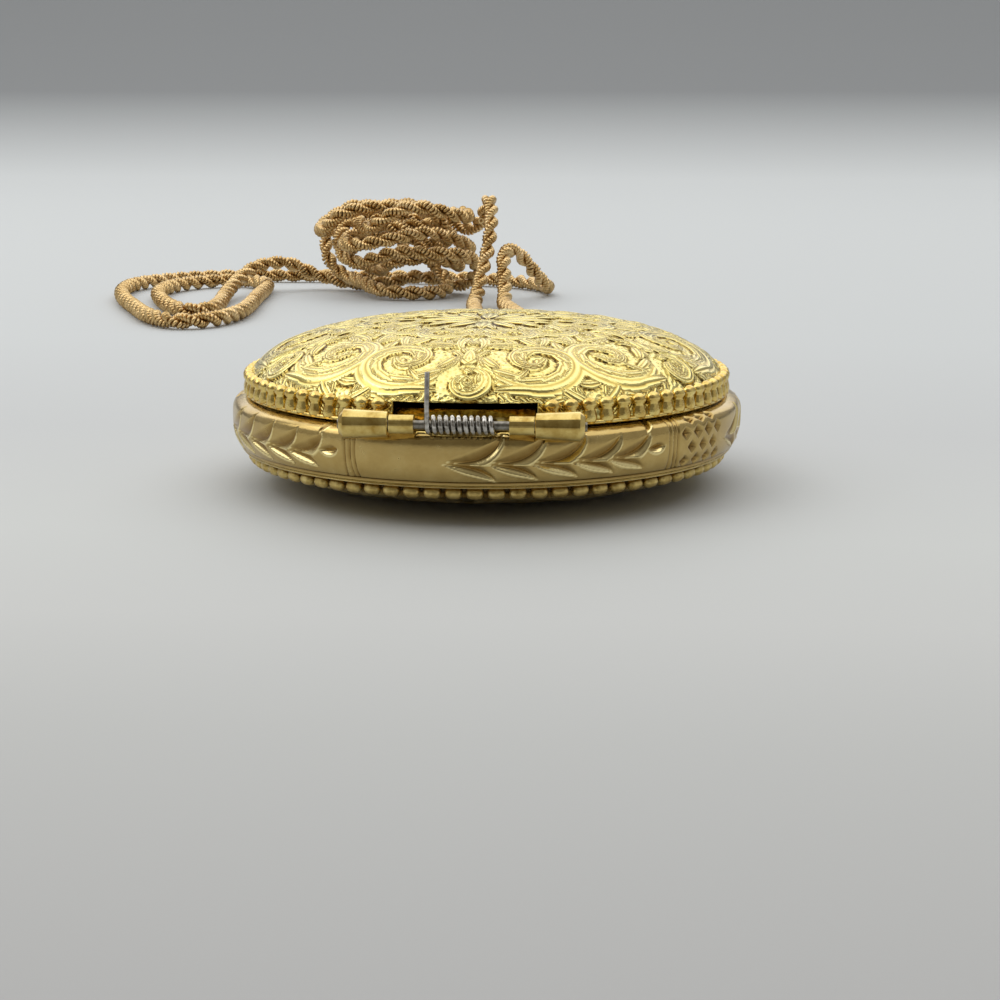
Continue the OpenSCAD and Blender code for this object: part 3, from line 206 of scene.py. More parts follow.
def addRamp(tree, share, stops):
    node = addNode(tree, "ShaderNodeValToRGB", links={"Fac": share})
    elements = node.color_ramp.elements
    for index, (at, colour) in enumerate(stops):
        element = elements[index] if index < 2 else elements.new(at)
        element.position = at
        element.color = linear(colour)
    return node.outputs["Color"]


def addRange(tree, value, **limits):
    values = {key.replace("_", " "): limit for key, limit in limits.items()}
    return addNode(
        tree, "ShaderNodeMapRange", values=values, links={"Value": value}
    ).outputs["Result"]


def addBump(tree, shader, height, strength, depth):
    values = {"Strength": strength, "Distance": depth * mm}
    bump = addNode(tree, "ShaderNodeBump", values=values, links={"Height": height})
    tree.links.new(bump.outputs["Normal"], shader.inputs["Normal"])


def startMaterial(name, **values):
    material = bpy.data.materials.new(name)
    material.use_nodes = True
    tree = material.node_tree
    shader = tree.nodes["Principled BSDF"]
    for key, value in values.items():
        shader.inputs[key.replace("_", " ")].default_value = value
    place = addNode(tree, "ShaderNodeTexCoord").outputs["Object"]
    return material, tree, shader, place


def goldFinish(name, look):
    # electroplated gold, bright where it is burnished, with dirt tone from noise; where a shell
    # carries relief values they add painted highlight on raised places and painted shade in the
    # cuts
    _, tree, shader, place = startMaterial(name, Metallic=1.0)
    grime = addNoise(tree, place, look["grimeSize"], 6, 0.6)
    grain = addNoise(tree, place, look["grainSize"], 2)
    tone, height = grime, grain
    if "graverLines" in look:
        relief, across, carved = (
            addNode(tree, "ShaderNodeAttribute", {"attribute_name": kind}).outputs["Fac"]
            for kind in ("relief", "across", "carved")
        )
        # graver lines run along each leaf and close up towards its tip
        lines = addMath(tree, "MULTIPLY", across, look["graverLines"] * math.pi)
        cut = addMath(tree, "MULTIPLY", addMath(tree, "COSINE", lines), carved)
        # the ground between the leaves is matted with a punch
        stipple = addNode(
            tree,
            "ShaderNodeTexVoronoi",
            values={"Scale": 1 / (look["stippleSize"] * mm)},
            links={"Vector": place},
        )
        ground = addMath(tree, "SUBTRACT", 1.0, carved)
        punched = addMath(tree, "MULTIPLY", stipple.outputs["Distance"], ground)
        pits = addMath(tree, "MULTIPLY", punched, look["stippleShare"])
        tooled = addMath(tree, "MULTIPLY_ADD", cut, look["lineShare"], pits)
        height = addMath(tree, "MULTIPLY_ADD", grain, look["grainShare"], tooled)
        # dirt noise plus the relief values, which hold painted highlight on the raised leaves and
        # painted shade in the cuts
        dirtAndPaintedLight = addMath(tree, "MULTIPLY_ADD", grime, look["grimeShare"], relief)
        tone = addMath(tree, "MULTIPLY_ADD", tooled, look["cutTint"], dirtAndPaintedLight)
    tree.links.new(addRamp(tree, tone, look["stops"]), shader.inputs["Base Color"])
    smooth, dull = look["roughness"]
    rough = addRange(tree, grime, From_Min=0.3, From_Max=0.7, To_Min=smooth, To_Max=dull)
    tree.links.new(rough, shader.inputs["Roughness"])
    addBump(tree, shader, height, look["bump"], look["bumpDepth"])


goldLooks = {
    # die-struck and engraved cover
    "engravedGold": {
        "roughness": (0.17, 0.27), "bump": 0.9, "bumpDepth": 0.06,
        "grimeSize": 2.4, "grimeShare": 0.3, "grainSize": 0.14, "grainShare": 0.05,
        "graverLines": 3, "lineShare": 0.5, "cutTint": 0.6,
        "stippleSize": 0.3, "stippleShare": 1.3,
        "stops": [(0.1, "#523B12"), (0.36, "#A08139"), (0.62, "#E2CB75"), (0.95, "#F6E798")],
    },
    # bright cuts on a redder band, its gold painted darker all over as shade where band and back
    # face away from the lamps; dull where hands rub it less
    "brightCutGold": {
        "roughness": (0.15, 0.29), "bump": 0.5, "bumpDepth": 0.04,
        "grimeSize": 1.2, "grimeShare": 0.3, "grainSize": 0.12, "grainShare": 0.2,
        "graverLines": 2, "lineShare": 0.12, "cutTint": 0.2,
        "stippleSize": 0.3, "stippleShare": 0.1,
        "stops": [(0.1, "#4A3612"), (0.35, "#90713C"), (0.62, "#C0A567"), (1.0, "#F6E2A2")],
    },
    # buffed plate on hinge, bow and crown
    "polishedGold": {
        "roughness": (0.09, 0.19), "bump": 0.04, "bumpDepth": 0.02,
        "grimeSize": 0.9, "grainSize": 0.15,
        "stops": [(0.3, "#B08F45"), (0.55, "#DCC277"), (0.8, "#EBD68E")],
    },
    # pressed ribs, worn bright at their tops
    "gadroonGold": {
        "roughness": (0.12, 0.28), "bump": 0.5, "bumpDepth": 0.04,
        "grimeSize": 0.7, "grainSize": 0.12,
        "stops": [(0.3, "#C9A353"), (0.55, "#EBD07E"), (0.8, "#F6E697")],
    },
    # cast beads, dull; the channel between them on the back is painted darker as shade
    "beadGold": {
        "roughness": (0.26, 0.42), "bump": 0.5, "bumpDepth": 0.04,
        "grimeSize": 0.6, "grainSize": 0.1,
        "stops": [(0.3, "#A88C4B"), (0.55, "#DCC27A"), (0.8, "#F3E09C")],
    },
    # drawn and soldered chain wire
    "chainGold": {
        "roughness": (0.26, 0.38), "bump": 0.2, "bumpDepth": 0.03,
        "grimeSize": 2.5, "grainSize": 0.2,
        "stops": [(0.3, "#B48F55"), (0.55, "#E3C288"), (0.8, "#F2D6A6")],
    },
}
for name, look in goldLooks.items():
    goldFinish(name, look)


def plainFinish(name, size, roughness, tones, stretch=None, **shine):
    # an even surface with fine streaks or clouding from its making; a metal where it has a stretch
    if stretch:
        shine["Metallic"] = 1.0
    _, tree, shader, place = startMaterial(name, **shine)
    if stretch:
        mapping = addNode(
            tree, "ShaderNodeMapping", values={"Scale": stretch}, links={"Vector": place}
        )
        place = mapping.outputs["Vector"]
    streak = addNoise(tree, place, size, *((4, 0.55) if stretch else (3, 0.5)))
    tone = addRamp(tree, streak, list(zip((0.3, 0.7), tones)))
    tree.links.new(tone, shader.inputs["Base Color"])
    rough = addRange(tree, streak, To_Min=roughness[0], To_Max=roughness[1])
    tree.links.new(rough, shader.inputs["Roughness"])
    if stretch:
        addBump(tree, shader, streak, 0.2, 0.01)


# drawn spring wire, streaked along its length
plainFinish("springSteel", 0.25, (0.14, 0.26), ("#7D776D", "#D6D2CA"), (0.4, 1, 1))
# ground and hardened steel
plainFinish("greySteel", 0.3, (0.25, 0.45), ("#6A655C", "#A9A498"), (1, 1, 1))
# steel polished and blued by heat
plainFinish("bluedSteel", 0.8, (0.16, 0.28), ("#182A66", "#2C4796"), (1, 1, 1))
# brushed nickel plate on the plates and bridges
plainFinish("nickelPlate", 0.5, (0.2, 0.36), ("#B9B5A8", "#DAD7CC"), (1, 0.15, 1))
# turned and gilded brass
plainFinish("wheelBrass", 0.4, (0.2, 0.35), ("#C79C4A", "#E6C777"), (1, 1, 1))
# vitreous enamel: hard white glass fired on copper
plainFinish("enamelWhite", 3, (0.14, 0.24), ("#EDE7D8", "#F6F2E8"), Coat_Weight=0.5)
# fired black print on the dial
plainFinish("dialBlack", 0.5, (0.25, 0.45), ("#121214", "#232327"))
# synthetic ruby, red and clear
plainFinish(
    "ruby", 0.6, (0.05, 0.12), ("#B01040", "#CE2454"), IOR=1.77, Transmission_Weight=0.5
)
# moulded nitrile rubber
plainFinish("sealRubber", 0.4, (0.5, 0.7), ("#161617", "#262628"))
# mineral glass
plainFinish(
    "watchGlass", 6, (0.0, 0.02), ("#F6FAFA", "#FFFFFF"), IOR=1.5, Transmission_Weight=1.0
)

finishes = {
    "polishedGold": "bezel crown bow push_tube hour_markers",
    "greySteel": "hinge_pin cover_catch catch_spring click barrel_arbor pallet_fork clutch_lever"
    " setting_lever winding_stem ratchet_wheel crown_wheel winding_pinion sliding_pinion"
    " cannon_pinion",
    "springSteel": "escape_wheel",
    "bluedSteel": "hour_hand minute_hand bridge_screws mainspring hairspring",
    "nickelPlate": "mainplate barrel_bridge train_bridge pallet_cock balance_cock movement_ring",
    "wheelBrass": "barrel centre_wheel third_wheel fourth_wheel balance_wheel minute_wheel"
    " hour_wheel setting_wheel",
    "enamelWhite": "dial",
    "ruby": "jewels",
    "sealRubber": "crown_gasket",
    "watchGlass": "crystal",
}
for finish, names in finishes.items():
    for name in names.split():
        data = nodes[name].data
        data.materials.clear()
        data.materials.append(bpy.data.materials[finish])
print("materials made")

# Rope chain: its routes in metres, the same points as in the part's source

leftRoute = [
    (0, 0.0279, 0.0032), (-0.0014, 0.0284, 0.0045), (-0.0023, 0.0309, 0.00515),
    (-0.0024, 0.034, 0.0043), (-0.0026, 0.038, 0.0024), (-0.0034, 0.043, 0.00125),
    (-0.0052, 0.054, 0.00105), (-0.0066, 0.066, 0.00105), (-0.0076, 0.078, 0.00105),
    (-0.0088, 0.09, 0.00105), (-0.0102, 0.101, 0.00105), (-0.0112, 0.109, 0.00105),
    (-0.0112, 0.1138, 0.0019), (-0.0109, 0.1175, 0.0044), (-0.0103, 0.1207, 0.0078),
    (-0.0102, 0.1238, 0.0112), (-0.0108, 0.1275, 0.0134),
]
rightRoute = [
    (0, 0.0279, 0.0032), (0.0014, 0.0284, 0.0019), (0.0026, 0.0308, 0.00105),
    (0.0033, 0.035, 0.00105), (0.0032, 0.043, 0.00105), (0.0014, 0.054, 0.00105),
    (0, 0.066, 0.00105), (-0.0008, 0.078, 0.00105), (-0.0028, 0.09, 0.00105),
    (-0.0054, 0.101, 0.00105), (-0.0072, 0.109, 0.00105), (-0.0076, 0.1142, 0.002),
    (-0.008, 0.1177, 0.0046), (-0.0081, 0.1209, 0.0068), (-0.0066, 0.1237, 0.0066),
    (-0.0046, 0.1259, 0.004), (-0.0031, 0.1296, 0.0016), (-0.0035, 0.1348, 0.00105),
    (-0.0077, 0.1408, 0.00105), (-0.0152, 0.145, 0.00105), (-0.0239, 0.1468, 0.00105),
    (-0.033, 0.1475, 0.00105),
]
tailRoute = [
    (-0.033, 0.1475, 0.00105), (-0.0415, 0.1479, 0.00105), (-0.0505, 0.1467, 0.00105),
    (-0.0576, 0.1421, 0.00105), (-0.0617, 0.1341, 0.00105), (-0.0615, 0.1246, 0.00105),
    (-0.0585, 0.1138, 0.00105), (-0.0542, 0.1032, 0.00105), (-0.0499, 0.0936, 0.00105),
    (-0.0454, 0.0882, 0.00105), (-0.0414, 0.0901, 0.00105), (-0.0396, 0.0973, 0.00105),
    (-0.04, 0.1069, 0.00105), (-0.0411, 0.1168, 0.00105), (-0.042, 0.1268, 0.00105),
    (-0.0435, 0.1347, 0.00105), (-0.0475, 0.1394, 0.00105), (-0.0526, 0.1377, 0.00105),
    (-0.0558, 0.1312, 0.00105), (-0.0559, 0.1226, 0.00105), (-0.0534, 0.1133, 0.00105),
    (-0.0499, 0.1045, 0.00105), (-0.0464, 0.0993, 0.00105), (-0.044, 0.1019, 0.00105),
    (-0.0444, 0.109, 0.00105), (-0.0456, 0.1175, 0.0012), (-0.0457, 0.1255, 0.0022),
    (-0.044, 0.131, 0.0038), (-0.0405, 0.1352, 0.004), (-0.0365, 0.1371, 0.0022),
    (-0.0316, 0.1365, 0.0011),
]
heapRoute = [
    (-0.0282, 0.1364, 0.0011), (-0.0248, 0.1359, 0.0015), (-0.0216, 0.1353, 0.0022),
    (-0.0183, 0.1347, 0.0017), (-0.0153, 0.1332, 0.0013), (-0.0132, 0.131, 0.0026),
    (-0.0127, 0.1284, 0.0047), (-0.0138, 0.1254, 0.0059), (-0.0164, 0.1234, 0.0064),
    (-0.0197, 0.1229, 0.0065), (-0.0231, 0.1237, 0.0065), (-0.0262, 0.1246, 0.0056),
    (-0.0291, 0.1262, 0.0049), (-0.0314, 0.1285, 0.0059), (-0.0321, 0.1308, 0.0082),
    (-0.0311, 0.1337, 0.0096), (-0.029, 0.1363, 0.0094), (-0.026, 0.1374, 0.0083),
    (-0.0228, 0.1369, 0.0074), (-0.0197, 0.1356, 0.007), (-0.0175, 0.1331, 0.0073),
    (-0.0169, 0.1301, 0.0088), (-0.018, 0.1279, 0.011), (-0.0208, 0.1265, 0.0124),
    (-0.024, 0.1254, 0.0125), (-0.0272, 0.1244, 0.0125), (-0.0305, 0.1245, 0.0117),
    (-0.0328, 0.1261, 0.01), (-0.0343, 0.129, 0.0091), (-0.0346, 0.1323, 0.0096),
    (-0.0332, 0.1351, 0.0109), (-0.0305, 0.1367, 0.0121), (-0.0272, 0.1372, 0.0116),
    (-0.0239, 0.1373, 0.0107), (-0.0207, 0.1374, 0.0097), (-0.0176, 0.1372, 0.0083),
    (-0.0152, 0.1353, 0.0068), (-0.014, 0.1322, 0.0065), (-0.0144, 0.129, 0.0074),
    (-0.0163, 0.1264, 0.0084), (-0.0186, 0.1239, 0.0091), (-0.0211, 0.1217, 0.009),
    (-0.0241, 0.1201, 0.0084), (-0.0274, 0.1206, 0.0078), (-0.0298, 0.1229, 0.0076),
    (-0.0305, 0.1262, 0.0079), (-0.0292, 0.1292, 0.0088), (-0.0263, 0.1307, 0.0096),
    (-0.0232, 0.1316, 0.0089), (-0.0211, 0.133, 0.0066), (-0.0189, 0.1328, 0.004),
    (-0.0172, 0.1307, 0.0021), (-0.0168, 0.1274, 0.0012), (-0.0184, 0.1245, 0.00105),
    (-0.0214, 0.123, 0.0011), (-0.0247, 0.1235, 0.0013), (-0.027, 0.1259, 0.0016),
    (-0.0285, 0.129, 0.0019), (-0.0302, 0.1319, 0.002), (-0.0325, 0.1343, 0.0027),
    (-0.0346, 0.1359, 0.0048), (-0.035, 0.1378, 0.0075), (-0.0333, 0.1398, 0.0096),
    (-0.0303, 0.1411, 0.0104), (-0.0271, 0.1413, 0.0094), (-0.0248, 0.1404, 0.0071),
    (-0.0227, 0.1387, 0.005), (-0.0197, 0.1374, 0.0046), (-0.0169, 0.1355, 0.0043),
    (-0.0155, 0.1325, 0.0041), (-0.0159, 0.1292, 0.0048), (-0.0182, 0.1268, 0.0054),
    (-0.0215, 0.1262, 0.0054), (-0.0245, 0.1274, 0.0047), (-0.0261, 0.1302, 0.0037),
    (-0.0269, 0.1334, 0.0033), (-0.0292, 0.136, 0.0036), (-0.0318, 0.1368, 0.0047),
    (-0.0304, 0.1346, 0.0067), (-0.0278, 0.1334, 0.0084), (-0.0247, 0.1342, 0.0094),
    (-0.0213, 0.1344, 0.0095), (-0.0183, 0.1329, 0.01), (-0.0158, 0.1311, 0.0114),
    (-0.014, 0.1282, 0.0114), (-0.0137, 0.1249, 0.0113), (-0.0153, 0.122, 0.0118),
    (-0.0183, 0.1207, 0.0126), (-0.0217, 0.1208, 0.0126), (-0.0246, 0.1214, 0.011),
    (-0.0268, 0.1235, 0.0097), (-0.0286, 0.1263, 0.0103), (-0.029, 0.1293, 0.0117),
    (-0.0277, 0.1323, 0.0121), (-0.0249, 0.1342, 0.0123), (-0.0216, 0.1352, 0.0122),
    (-0.0184, 0.1357, 0.0112), (-0.0158, 0.1345, 0.0095), (-0.0134, 0.1322, 0.0093),
    (-0.0118, 0.1297, 0.011),
]
chain = {
    "diameter": 2.1,
    "twist": 5.0,  # length of one full turn of the two strands
    "linkStep": 0.38,
    "linkRadius": 0.36,
    "wire": 0.25,
    "strandAt": 0.48,
    "lean": 30,
}


def smoothRoute(points, steps=6):
    # a smooth curve through the points, kept on the table
    points = [np.array(p) for p in points]
    last = len(points) - 1
    curve = []
    for k in range(last):
        a, b, c, d = (points[max(k - 1, 0)], points[k], points[k + 1], points[min(k + 2, last)])
        for t in np.arange(steps) / steps:
            square = (2 * a - 5 * b + 4 * c - d) * t * t
            cube = (3 * b - a - 3 * c + d) * t**3
            curve.append(0.5 * (2 * b + (c - a) * t + square + cube))
    curve.append(points[last])
    curve = np.array(curve)
    curve[:, 2] = np.maximum(curve[:, 2], chain["diameter"] / 2 * mm)
    return curve


heapCurve = smoothRoute(heapRoute)
leftCurve = smoothRoute(leftRoute + [tuple(heapCurve[-1])])
rightCurve = smoothRoute(rightRoute)
tailCurve = smoothRoute(tailRoute + [tuple(heapCurve[0])])

# one soldered link: a ring of wire, square with its corners outwards
link = bmesh.new()
bmesh.ops.create_circle(
    link,
    segments=4,
    radius=chain["wire"] * mm,
    matrix=Matrix.Translation((chain["linkRadius"] * mm, 0, 0))
    @ Matrix.Rotation(math.pi / 2, 4, "X")
    @ Matrix.Rotation(math.pi / 4, 4, "Z"),
)
bmesh.ops.spin(
    link,
    geom=link.verts[:] + link.edges[:],
    cent=(0, 0, 0),
    axis=(0, 0, 1),
    angle=math.tau,
    steps=10,
    use_merge=True,
)
bmesh.ops.remove_doubles(link, verts=link.verts, dist=1e-7)
bmesh.ops.recalc_face_normals(link, faces=link.faces)
linkMesh = meshFrom(link, "chainLink")


def ropePlaces(curve, startTwist):
    # links stand along two strands that wind round each other
    curve = curve / mm
    length = np.linalg.norm(np.diff(curve, axis=0), axis=1).sum()
    count = int(length / chain["linkStep"])
    line, along = evenCurve(curve, count + 1)
    lean = math.radians(chain["lean"])
    places = []
    side = None
    for k in range(count):
        ahead = Vector(line[k + 1] - line[k]).normalized()
        if side is None:
            side = ahead.cross(Vector((0, 0, 1))).normalized()
        side = (side - ahead * side.dot(ahead)).normalized()
        up = ahead.cross(side)
        for strand in (0, 1):
            turn = startTwist + math.tau * along[k] / chain["twist"] + math.pi * strand
            outward = side * math.cos(turn) + up * math.sin(turn)
            winding = outward.cross(ahead) * -math.tau * chain["strandAt"]
            tangent = (ahead * chain["twist"] + winding).normalized()
            normal = tangent * math.cos(lean) + outward * math.sin(lean)
            spot = Vector(line[k]) + outward * chain["strandAt"]
            facing = normal.to_track_quat("Z", "X").to_matrix().to_4x4()
            places.append(Matrix.Translation(spot * mm) @ facing)
    return places, length


def makeChain(name, curve, replaced, startTwist=0.0):
    places, length = ropePlaces(curve, startTwist)
    body = None if "chain_turn" in replaced else "case"
    mesh = meshFrom(copies(linkMesh, places), name)
    piece = linkPiece(name, mesh, body, "chainGold")
    if body is None:
        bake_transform(piece)
    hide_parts(*replaced)
    print(name, round(length, 1), "mm of rope chain,", len(places), "links")


makeChain("chainLeft", leftCurve, ["chain_turn", "chain_left_strand"])
makeChain("chainRight", rightCurve, ["chain_turn", "chain_right_strand"], math.pi / 2)
makeChain("chainTail", tailCurve, ["chain_tail"])
makeChain("chainHeap", heapCurve, ["chain_heap"])

# Ornament: leaves and scrolls as lines with a half width at each point


def growLeaf(start, heading, length, bends, widest, peak=0.4, lift=1.0):
    # a leaf that sets off from start and turns as it grows, in degrees for each millimetre
    count = max(int(length / 0.1), 6)
    t = np.linspace(0, 1, count)
    turn = np.interp(t, np.linspace(0, 1, len(bends)), bends)
    facing = math.radians(heading) + np.cumsum(np.radians(turn)) * length / count
    steps = np.stack([np.cos(facing), np.sin(facing)], 1) * length / count
    line = np.array(start) + np.cumsum(steps, axis=0)
    swelling = np.sin(t / peak * math.pi / 2)
    thinning = np.clip(np.cos((t - peak) / (1 - peak) * math.pi / 2), 0, 1) ** 0.8
    return line, np.maximum(widest * np.where(t < peak, swelling, thinning), 0.05), lift


def growScroll(centre, radius, startAngle, turns, side, widest, lift=1.0):
    # a volute that winds in to its eye, thickest in its first half turn
    t = np.linspace(0, 1, int(radius * turns * 26))
    r = radius * (1 - 0.93 * t**1.15)
    angle = math.radians(startAngle) + side * math.tau * turns * t
    line = np.array(centre) + np.stack([r * np.cos(angle), r * np.sin(angle)], 1)
    swell = ([0, 0.1, 0.24, 0.45, 0.7, 0.9, 1], [0.12, 0.6, 1, 0.62, 0.36, 0.3, 0.5])
    return line, widest * np.interp(t, *swell), lift


def leavesAlong(stem, spots, sideways, length, bend, widest, lift=0.8):
    # leaves that fan off one edge of a stem
    line, half, _ = stem
    grown = []
    for spot in spots:
        k = int(spot * (len(line) - 2))
        ahead = line[k + 1] - line[k]
        heading = math.degrees(math.atan2(ahead[1], ahead[0])) + sideways
        edge = np.array([-ahead[1], ahead[0]]) / np.linalg.norm(ahead) * half[k] * 0.5
        start = line[k] + edge * np.sign(sideways)
        reach = length * (0.7 + 0.6 * math.sin(spot * 9) ** 2)
        grown.append(growLeaf(start, heading, reach, [bend * 0.4, bend], widest, 0.45, lift))
    return grown


def growSpray(start, heading, length, bends, widest, side=1):
    # a leaf with lobes along both of its edges
    leaf = growLeaf(start, heading, length, bends, widest, 0.35)
    near, far = length * 0.42, length * 0.36
    lobes = leavesAlong(
        leaf, (0.08, 0.28, 0.48), 34 * side, near, 20 * side, widest * 0.7, 0.75
    )
    lobes += leavesAlong(leaf, (0.18, 0.4), -34 * side, far, -16 * side, widest * 0.6, 0.7)
    return [leaf] + lobes


def roundTop(u):
    return np.sqrt(np.clip(1 - u * u, 0, 1))


def carve(places, stems, section=roundTop):
    # how high each place stands, and how far across its leaf it lies, from -1 to 1
    height = np.zeros(len(places))
    across = np.full(len(places), 1.5)
    for line, half, lift in stems:
        reach = half.max() * 1.4
        low, high = line.min(0) - reach, line.max(0) + reach
        near = np.flatnonzero(((places > low) & (places < high)).all(1))
        if not len(near):
            continue
        tangent = np.gradient(line, axis=0)
        for part in np.array_split(near, max(1, len(near) // 4000)):
            gap = places[part][:, None, :] - line[None, :, :]
            ratio = np.sqrt((gap**2).sum(2)) / half
            best = ratio.argmin(1)
            rows = np.arange(len(part))
            d = gap[rows, best]
            t = tangent[best]
            u = np.sign(t[:, 0] * d[:, 1] - t[:, 1] * d[:, 0]) * ratio[rows, best]
            rise = lift * np.sqrt(half[best] / half.max()) * section(u)
            better = (np.abs(u) < 1) & (rise > height[part])
            height[part[better]] = rise[better]
            across[part[better]] = u[better]
            edge = (np.abs(u) >= 1) & (np.abs(u) < np.abs(across[part])) & (height[part] == 0)
            across[part[edge]] = u[edge]
    return height, across


# Turned shells that carry ornament: each place on them knows how far along the outline it lies


def outwards(line):
    # outward normals of an outline that runs upwards
    slope = np.gradient(line, axis=0)
    slope /= np.linalg.norm(slope, axis=1)[:, None]
    return np.stack([slope[:, 1], -slope[:, 0]], 1)


def turnShell(name, profile, steps, outline, rising, within, closed=False):
    # rising gives the shares of radius and height that together grow along the outline
    line, lineAlong = outline
    mesh = meshFrom(lathe([(r, 0, z) for r, z in profile], steps, closed=closed), name)
    places = np.empty(len(mesh.vertices) * 3)
    mesh.vertices.foreach_get("co", places)
    places = places.reshape(-1, 3) / mm
    r = np.hypot(places[:, 0], places[:, 1])
    around = np.arctan2(places[:, 1], places[:, 0])
    along = np.interp(rising[0] * r + rising[1] * places[:, 2], line @ rising, lineAlong)
    onLine = np.abs(np.interp(along, lineAlong, line[:, 0]) - r) < within
    return mesh, places, r, around, along, onLine


def pushOut(places, around, along, lineAlong, normals, move):
    outR, outZ = (np.interp(along, lineAlong, normals[:, k]) for k in (0, 1))
    places[:, 0] += move * outR * np.cos(around)
    places[:, 1] += move * outR * np.sin(around)
    places[:, 2] += move * outZ


def finishShell(mesh, places, tone, across, tooled):
    # the values that the engraved gold reads: tooled says which places have ornament
    mesh.vertices.foreach_set("co", (places * mm).ravel())
    mesh.update()
    values = {
        "relief": tone,
        "across": np.where(tooled, np.clip(across, -1, 1), 0),
        "carved": np.where(tooled, np.abs(across) < 1, 1),
    }
    for kind, value in values.items():
        layer = mesh.attributes.new(kind, "FLOAT", "POINT")
        layer.data.foreach_set("value", value.astype(np.float32))


def foldSector(around, reach, mirrored):
    # lays a sixth of the ring flat, measured from the hinge's side, with x across and y outwards
    share = math.radians(60)
    turn = np.mod(around + math.pi / 2 + share / 2, share) - share / 2
    turn = np.abs(turn) if mirrored else turn
    return np.stack([reach * np.sin(turn), reach * np.cos(turn)], 1)


# Front cover

cover = {
    "radius": 17.6,
    "height": 4.95,
    "baseZ": 6.85,
    "powR": 3.5,
    "powZ": 1.9,
    "wall": 0.5,
    "around": 700,
    "rings": 128,
    "relief": 0.24,
    "roseAt": 16.3,
    "roseReach": 2.05,
    "edgeLine": (18.55, 0.14),  # place and width of the line cut inside the rim
    "leafCut": (1.05, 0.2),  # the same for the cut round each leaf, in its half widths
    # the tone values paint highlight on the raised leaves and paint shade in the cuts
    "tone": (0.34, 0.34, 0.42, 0.4),  # ground, added on leaves, lost in cuts, inside
    "notch": (4.75, 8.15),  # half width and top of the opening for the spring
}


def coverCurve(inset, count):
    t = np.radians(np.linspace(0, 90, 500))
    r = (cover["radius"] - inset) * np.sin(t) ** (2 / cover["powR"])
    z = cover["baseZ"] + (cover["height"] - inset) * np.cos(t) ** (2 / cover["powZ"])
    return evenCurve(np.stack([r, z], 1), count)


def cutNotch(mesh, top):
    half = cover["notch"][0]
    return cutAway(mesh, (-half, -20.4, 5.8), (half, -14.4, top))


outline = coverCurve(0, cover["rings"])
inside, _ = coverCurve(cover["wall"], 7)
profile = [*outline[0], *inside[::-1]]
coverMesh, places, _, around, along, onOuter = turnShell(
    "coverShell", profile, cover["around"], outline, (1, -1), 0.05
)

# primary scrolls in a mirrored twelfth, x across the sector and y outwards
volute = growScroll((4.5, 13.1), 3.9, 195, 1.55, -1, 0.9)
primary = [volute]
primary += leavesAlong(volute, np.linspace(0.02, 0.46, 9), -22, 3.2, -24, 0.52, 0.8)
primary += leavesAlong(volute, np.linspace(0.5, 0.82, 6), -26, 1.7, -44, 0.36, 0.75)
primary += leavesAlong(volute, np.linspace(0.03, 0.5, 10), 34, 2.5, 20, 0.5, 0.75)
primary += growSpray((1.5, 16.9), -4, 6.2, [-6, 4, 16], 0.66)
primary += growSpray((9.2, 16.2), 172, 4.0, [10, 20], 0.55, -1)
primary += growSpray((9.4, 15.2), 258, 4.8, [6, 12], 0.55)
primary += growSpray((9.2, 12.6), 236, 4.2, [10, 20], 0.5, -1)
primary += growSpray((0.25, 14.3), 264, 4.2, [-5, -14], 0.52, -1)
primary += growSpray((0.7, 11.2), 325, 3.6, [14, 20], 0.45)
primary += growSpray((8.9, 17.3), 205, 2.8, [-12, 18], 0.42)
primary += [
    growLeaf((2.9, 17.5), 24, 2.2, [-6, -24], 0.4),
    growLeaf((4.7, 17.4), 28, 2.0, [-6, -24], 0.38),
    growLeaf((6.3, 17.1), 30, 1.9, [-6, -24], 0.36),
    growLeaf((0.4, 14.4), 58, 2.2, [14, 24], 0.4),
]
# rosettes that all wind the same way
rosette = growScroll((0.0, cover["roseAt"]), 1.6, 250, 1.5, 1, 0.6, 1.15)
rosettes = [rosette] + leavesAlong(rosette, np.linspace(0.02, 0.5, 6), 30, 1.1, 40, 0.34, 0.8)
# the ring of smaller scrolls and the flower in the middle
small = growScroll((2.5, 7.1), 2.0, 200, 1.4, -1, 0.6)
middle = [small]
middle += leavesAlong(small, np.linspace(0.02, 0.46, 6), -24, 1.8, -34, 0.34, 0.8)
middle += leavesAlong(small, np.linspace(0.04, 0.5, 7), 34, 1.7, 24, 0.36, 0.75)
middle += growSpray((0.2, 4.9), 76, 3.8, [-6, -14], 0.46)
middle += growSpray((0.2, 8.6), 58, 3.4, [10, 24], 0.46, -1)
middle += growSpray((4.6, 7.8), 74, 3.0, [8, 16], 0.42)
middle += [
    growLeaf((0.0, 0.7), 90, 3.8, [0, 0], 0.72, 0.55),
    growLeaf((0.4, 0.7), 60, 4.0, [0, 0], 0.62, 0.55),
    growLeaf((0.5, 3.4), 75, 1.9, [0, 0], 0.4),
]
height, across = carve(foldSector(around, along, True), primary + middle)
flat = foldSector(around, along, False)
roseHeight, roseAcross = carve(flat, rosettes)
inRose = np.hypot(flat[:, 0], flat[:, 1] - cover["roseAt"]) < cover["roseReach"]
height = np.where(inRose, roseHeight, height)
across = np.where(inRose, roseAcross, across)


def cutLine(value, at, width):
    return np.exp(-(((value - at) / width) ** 2))


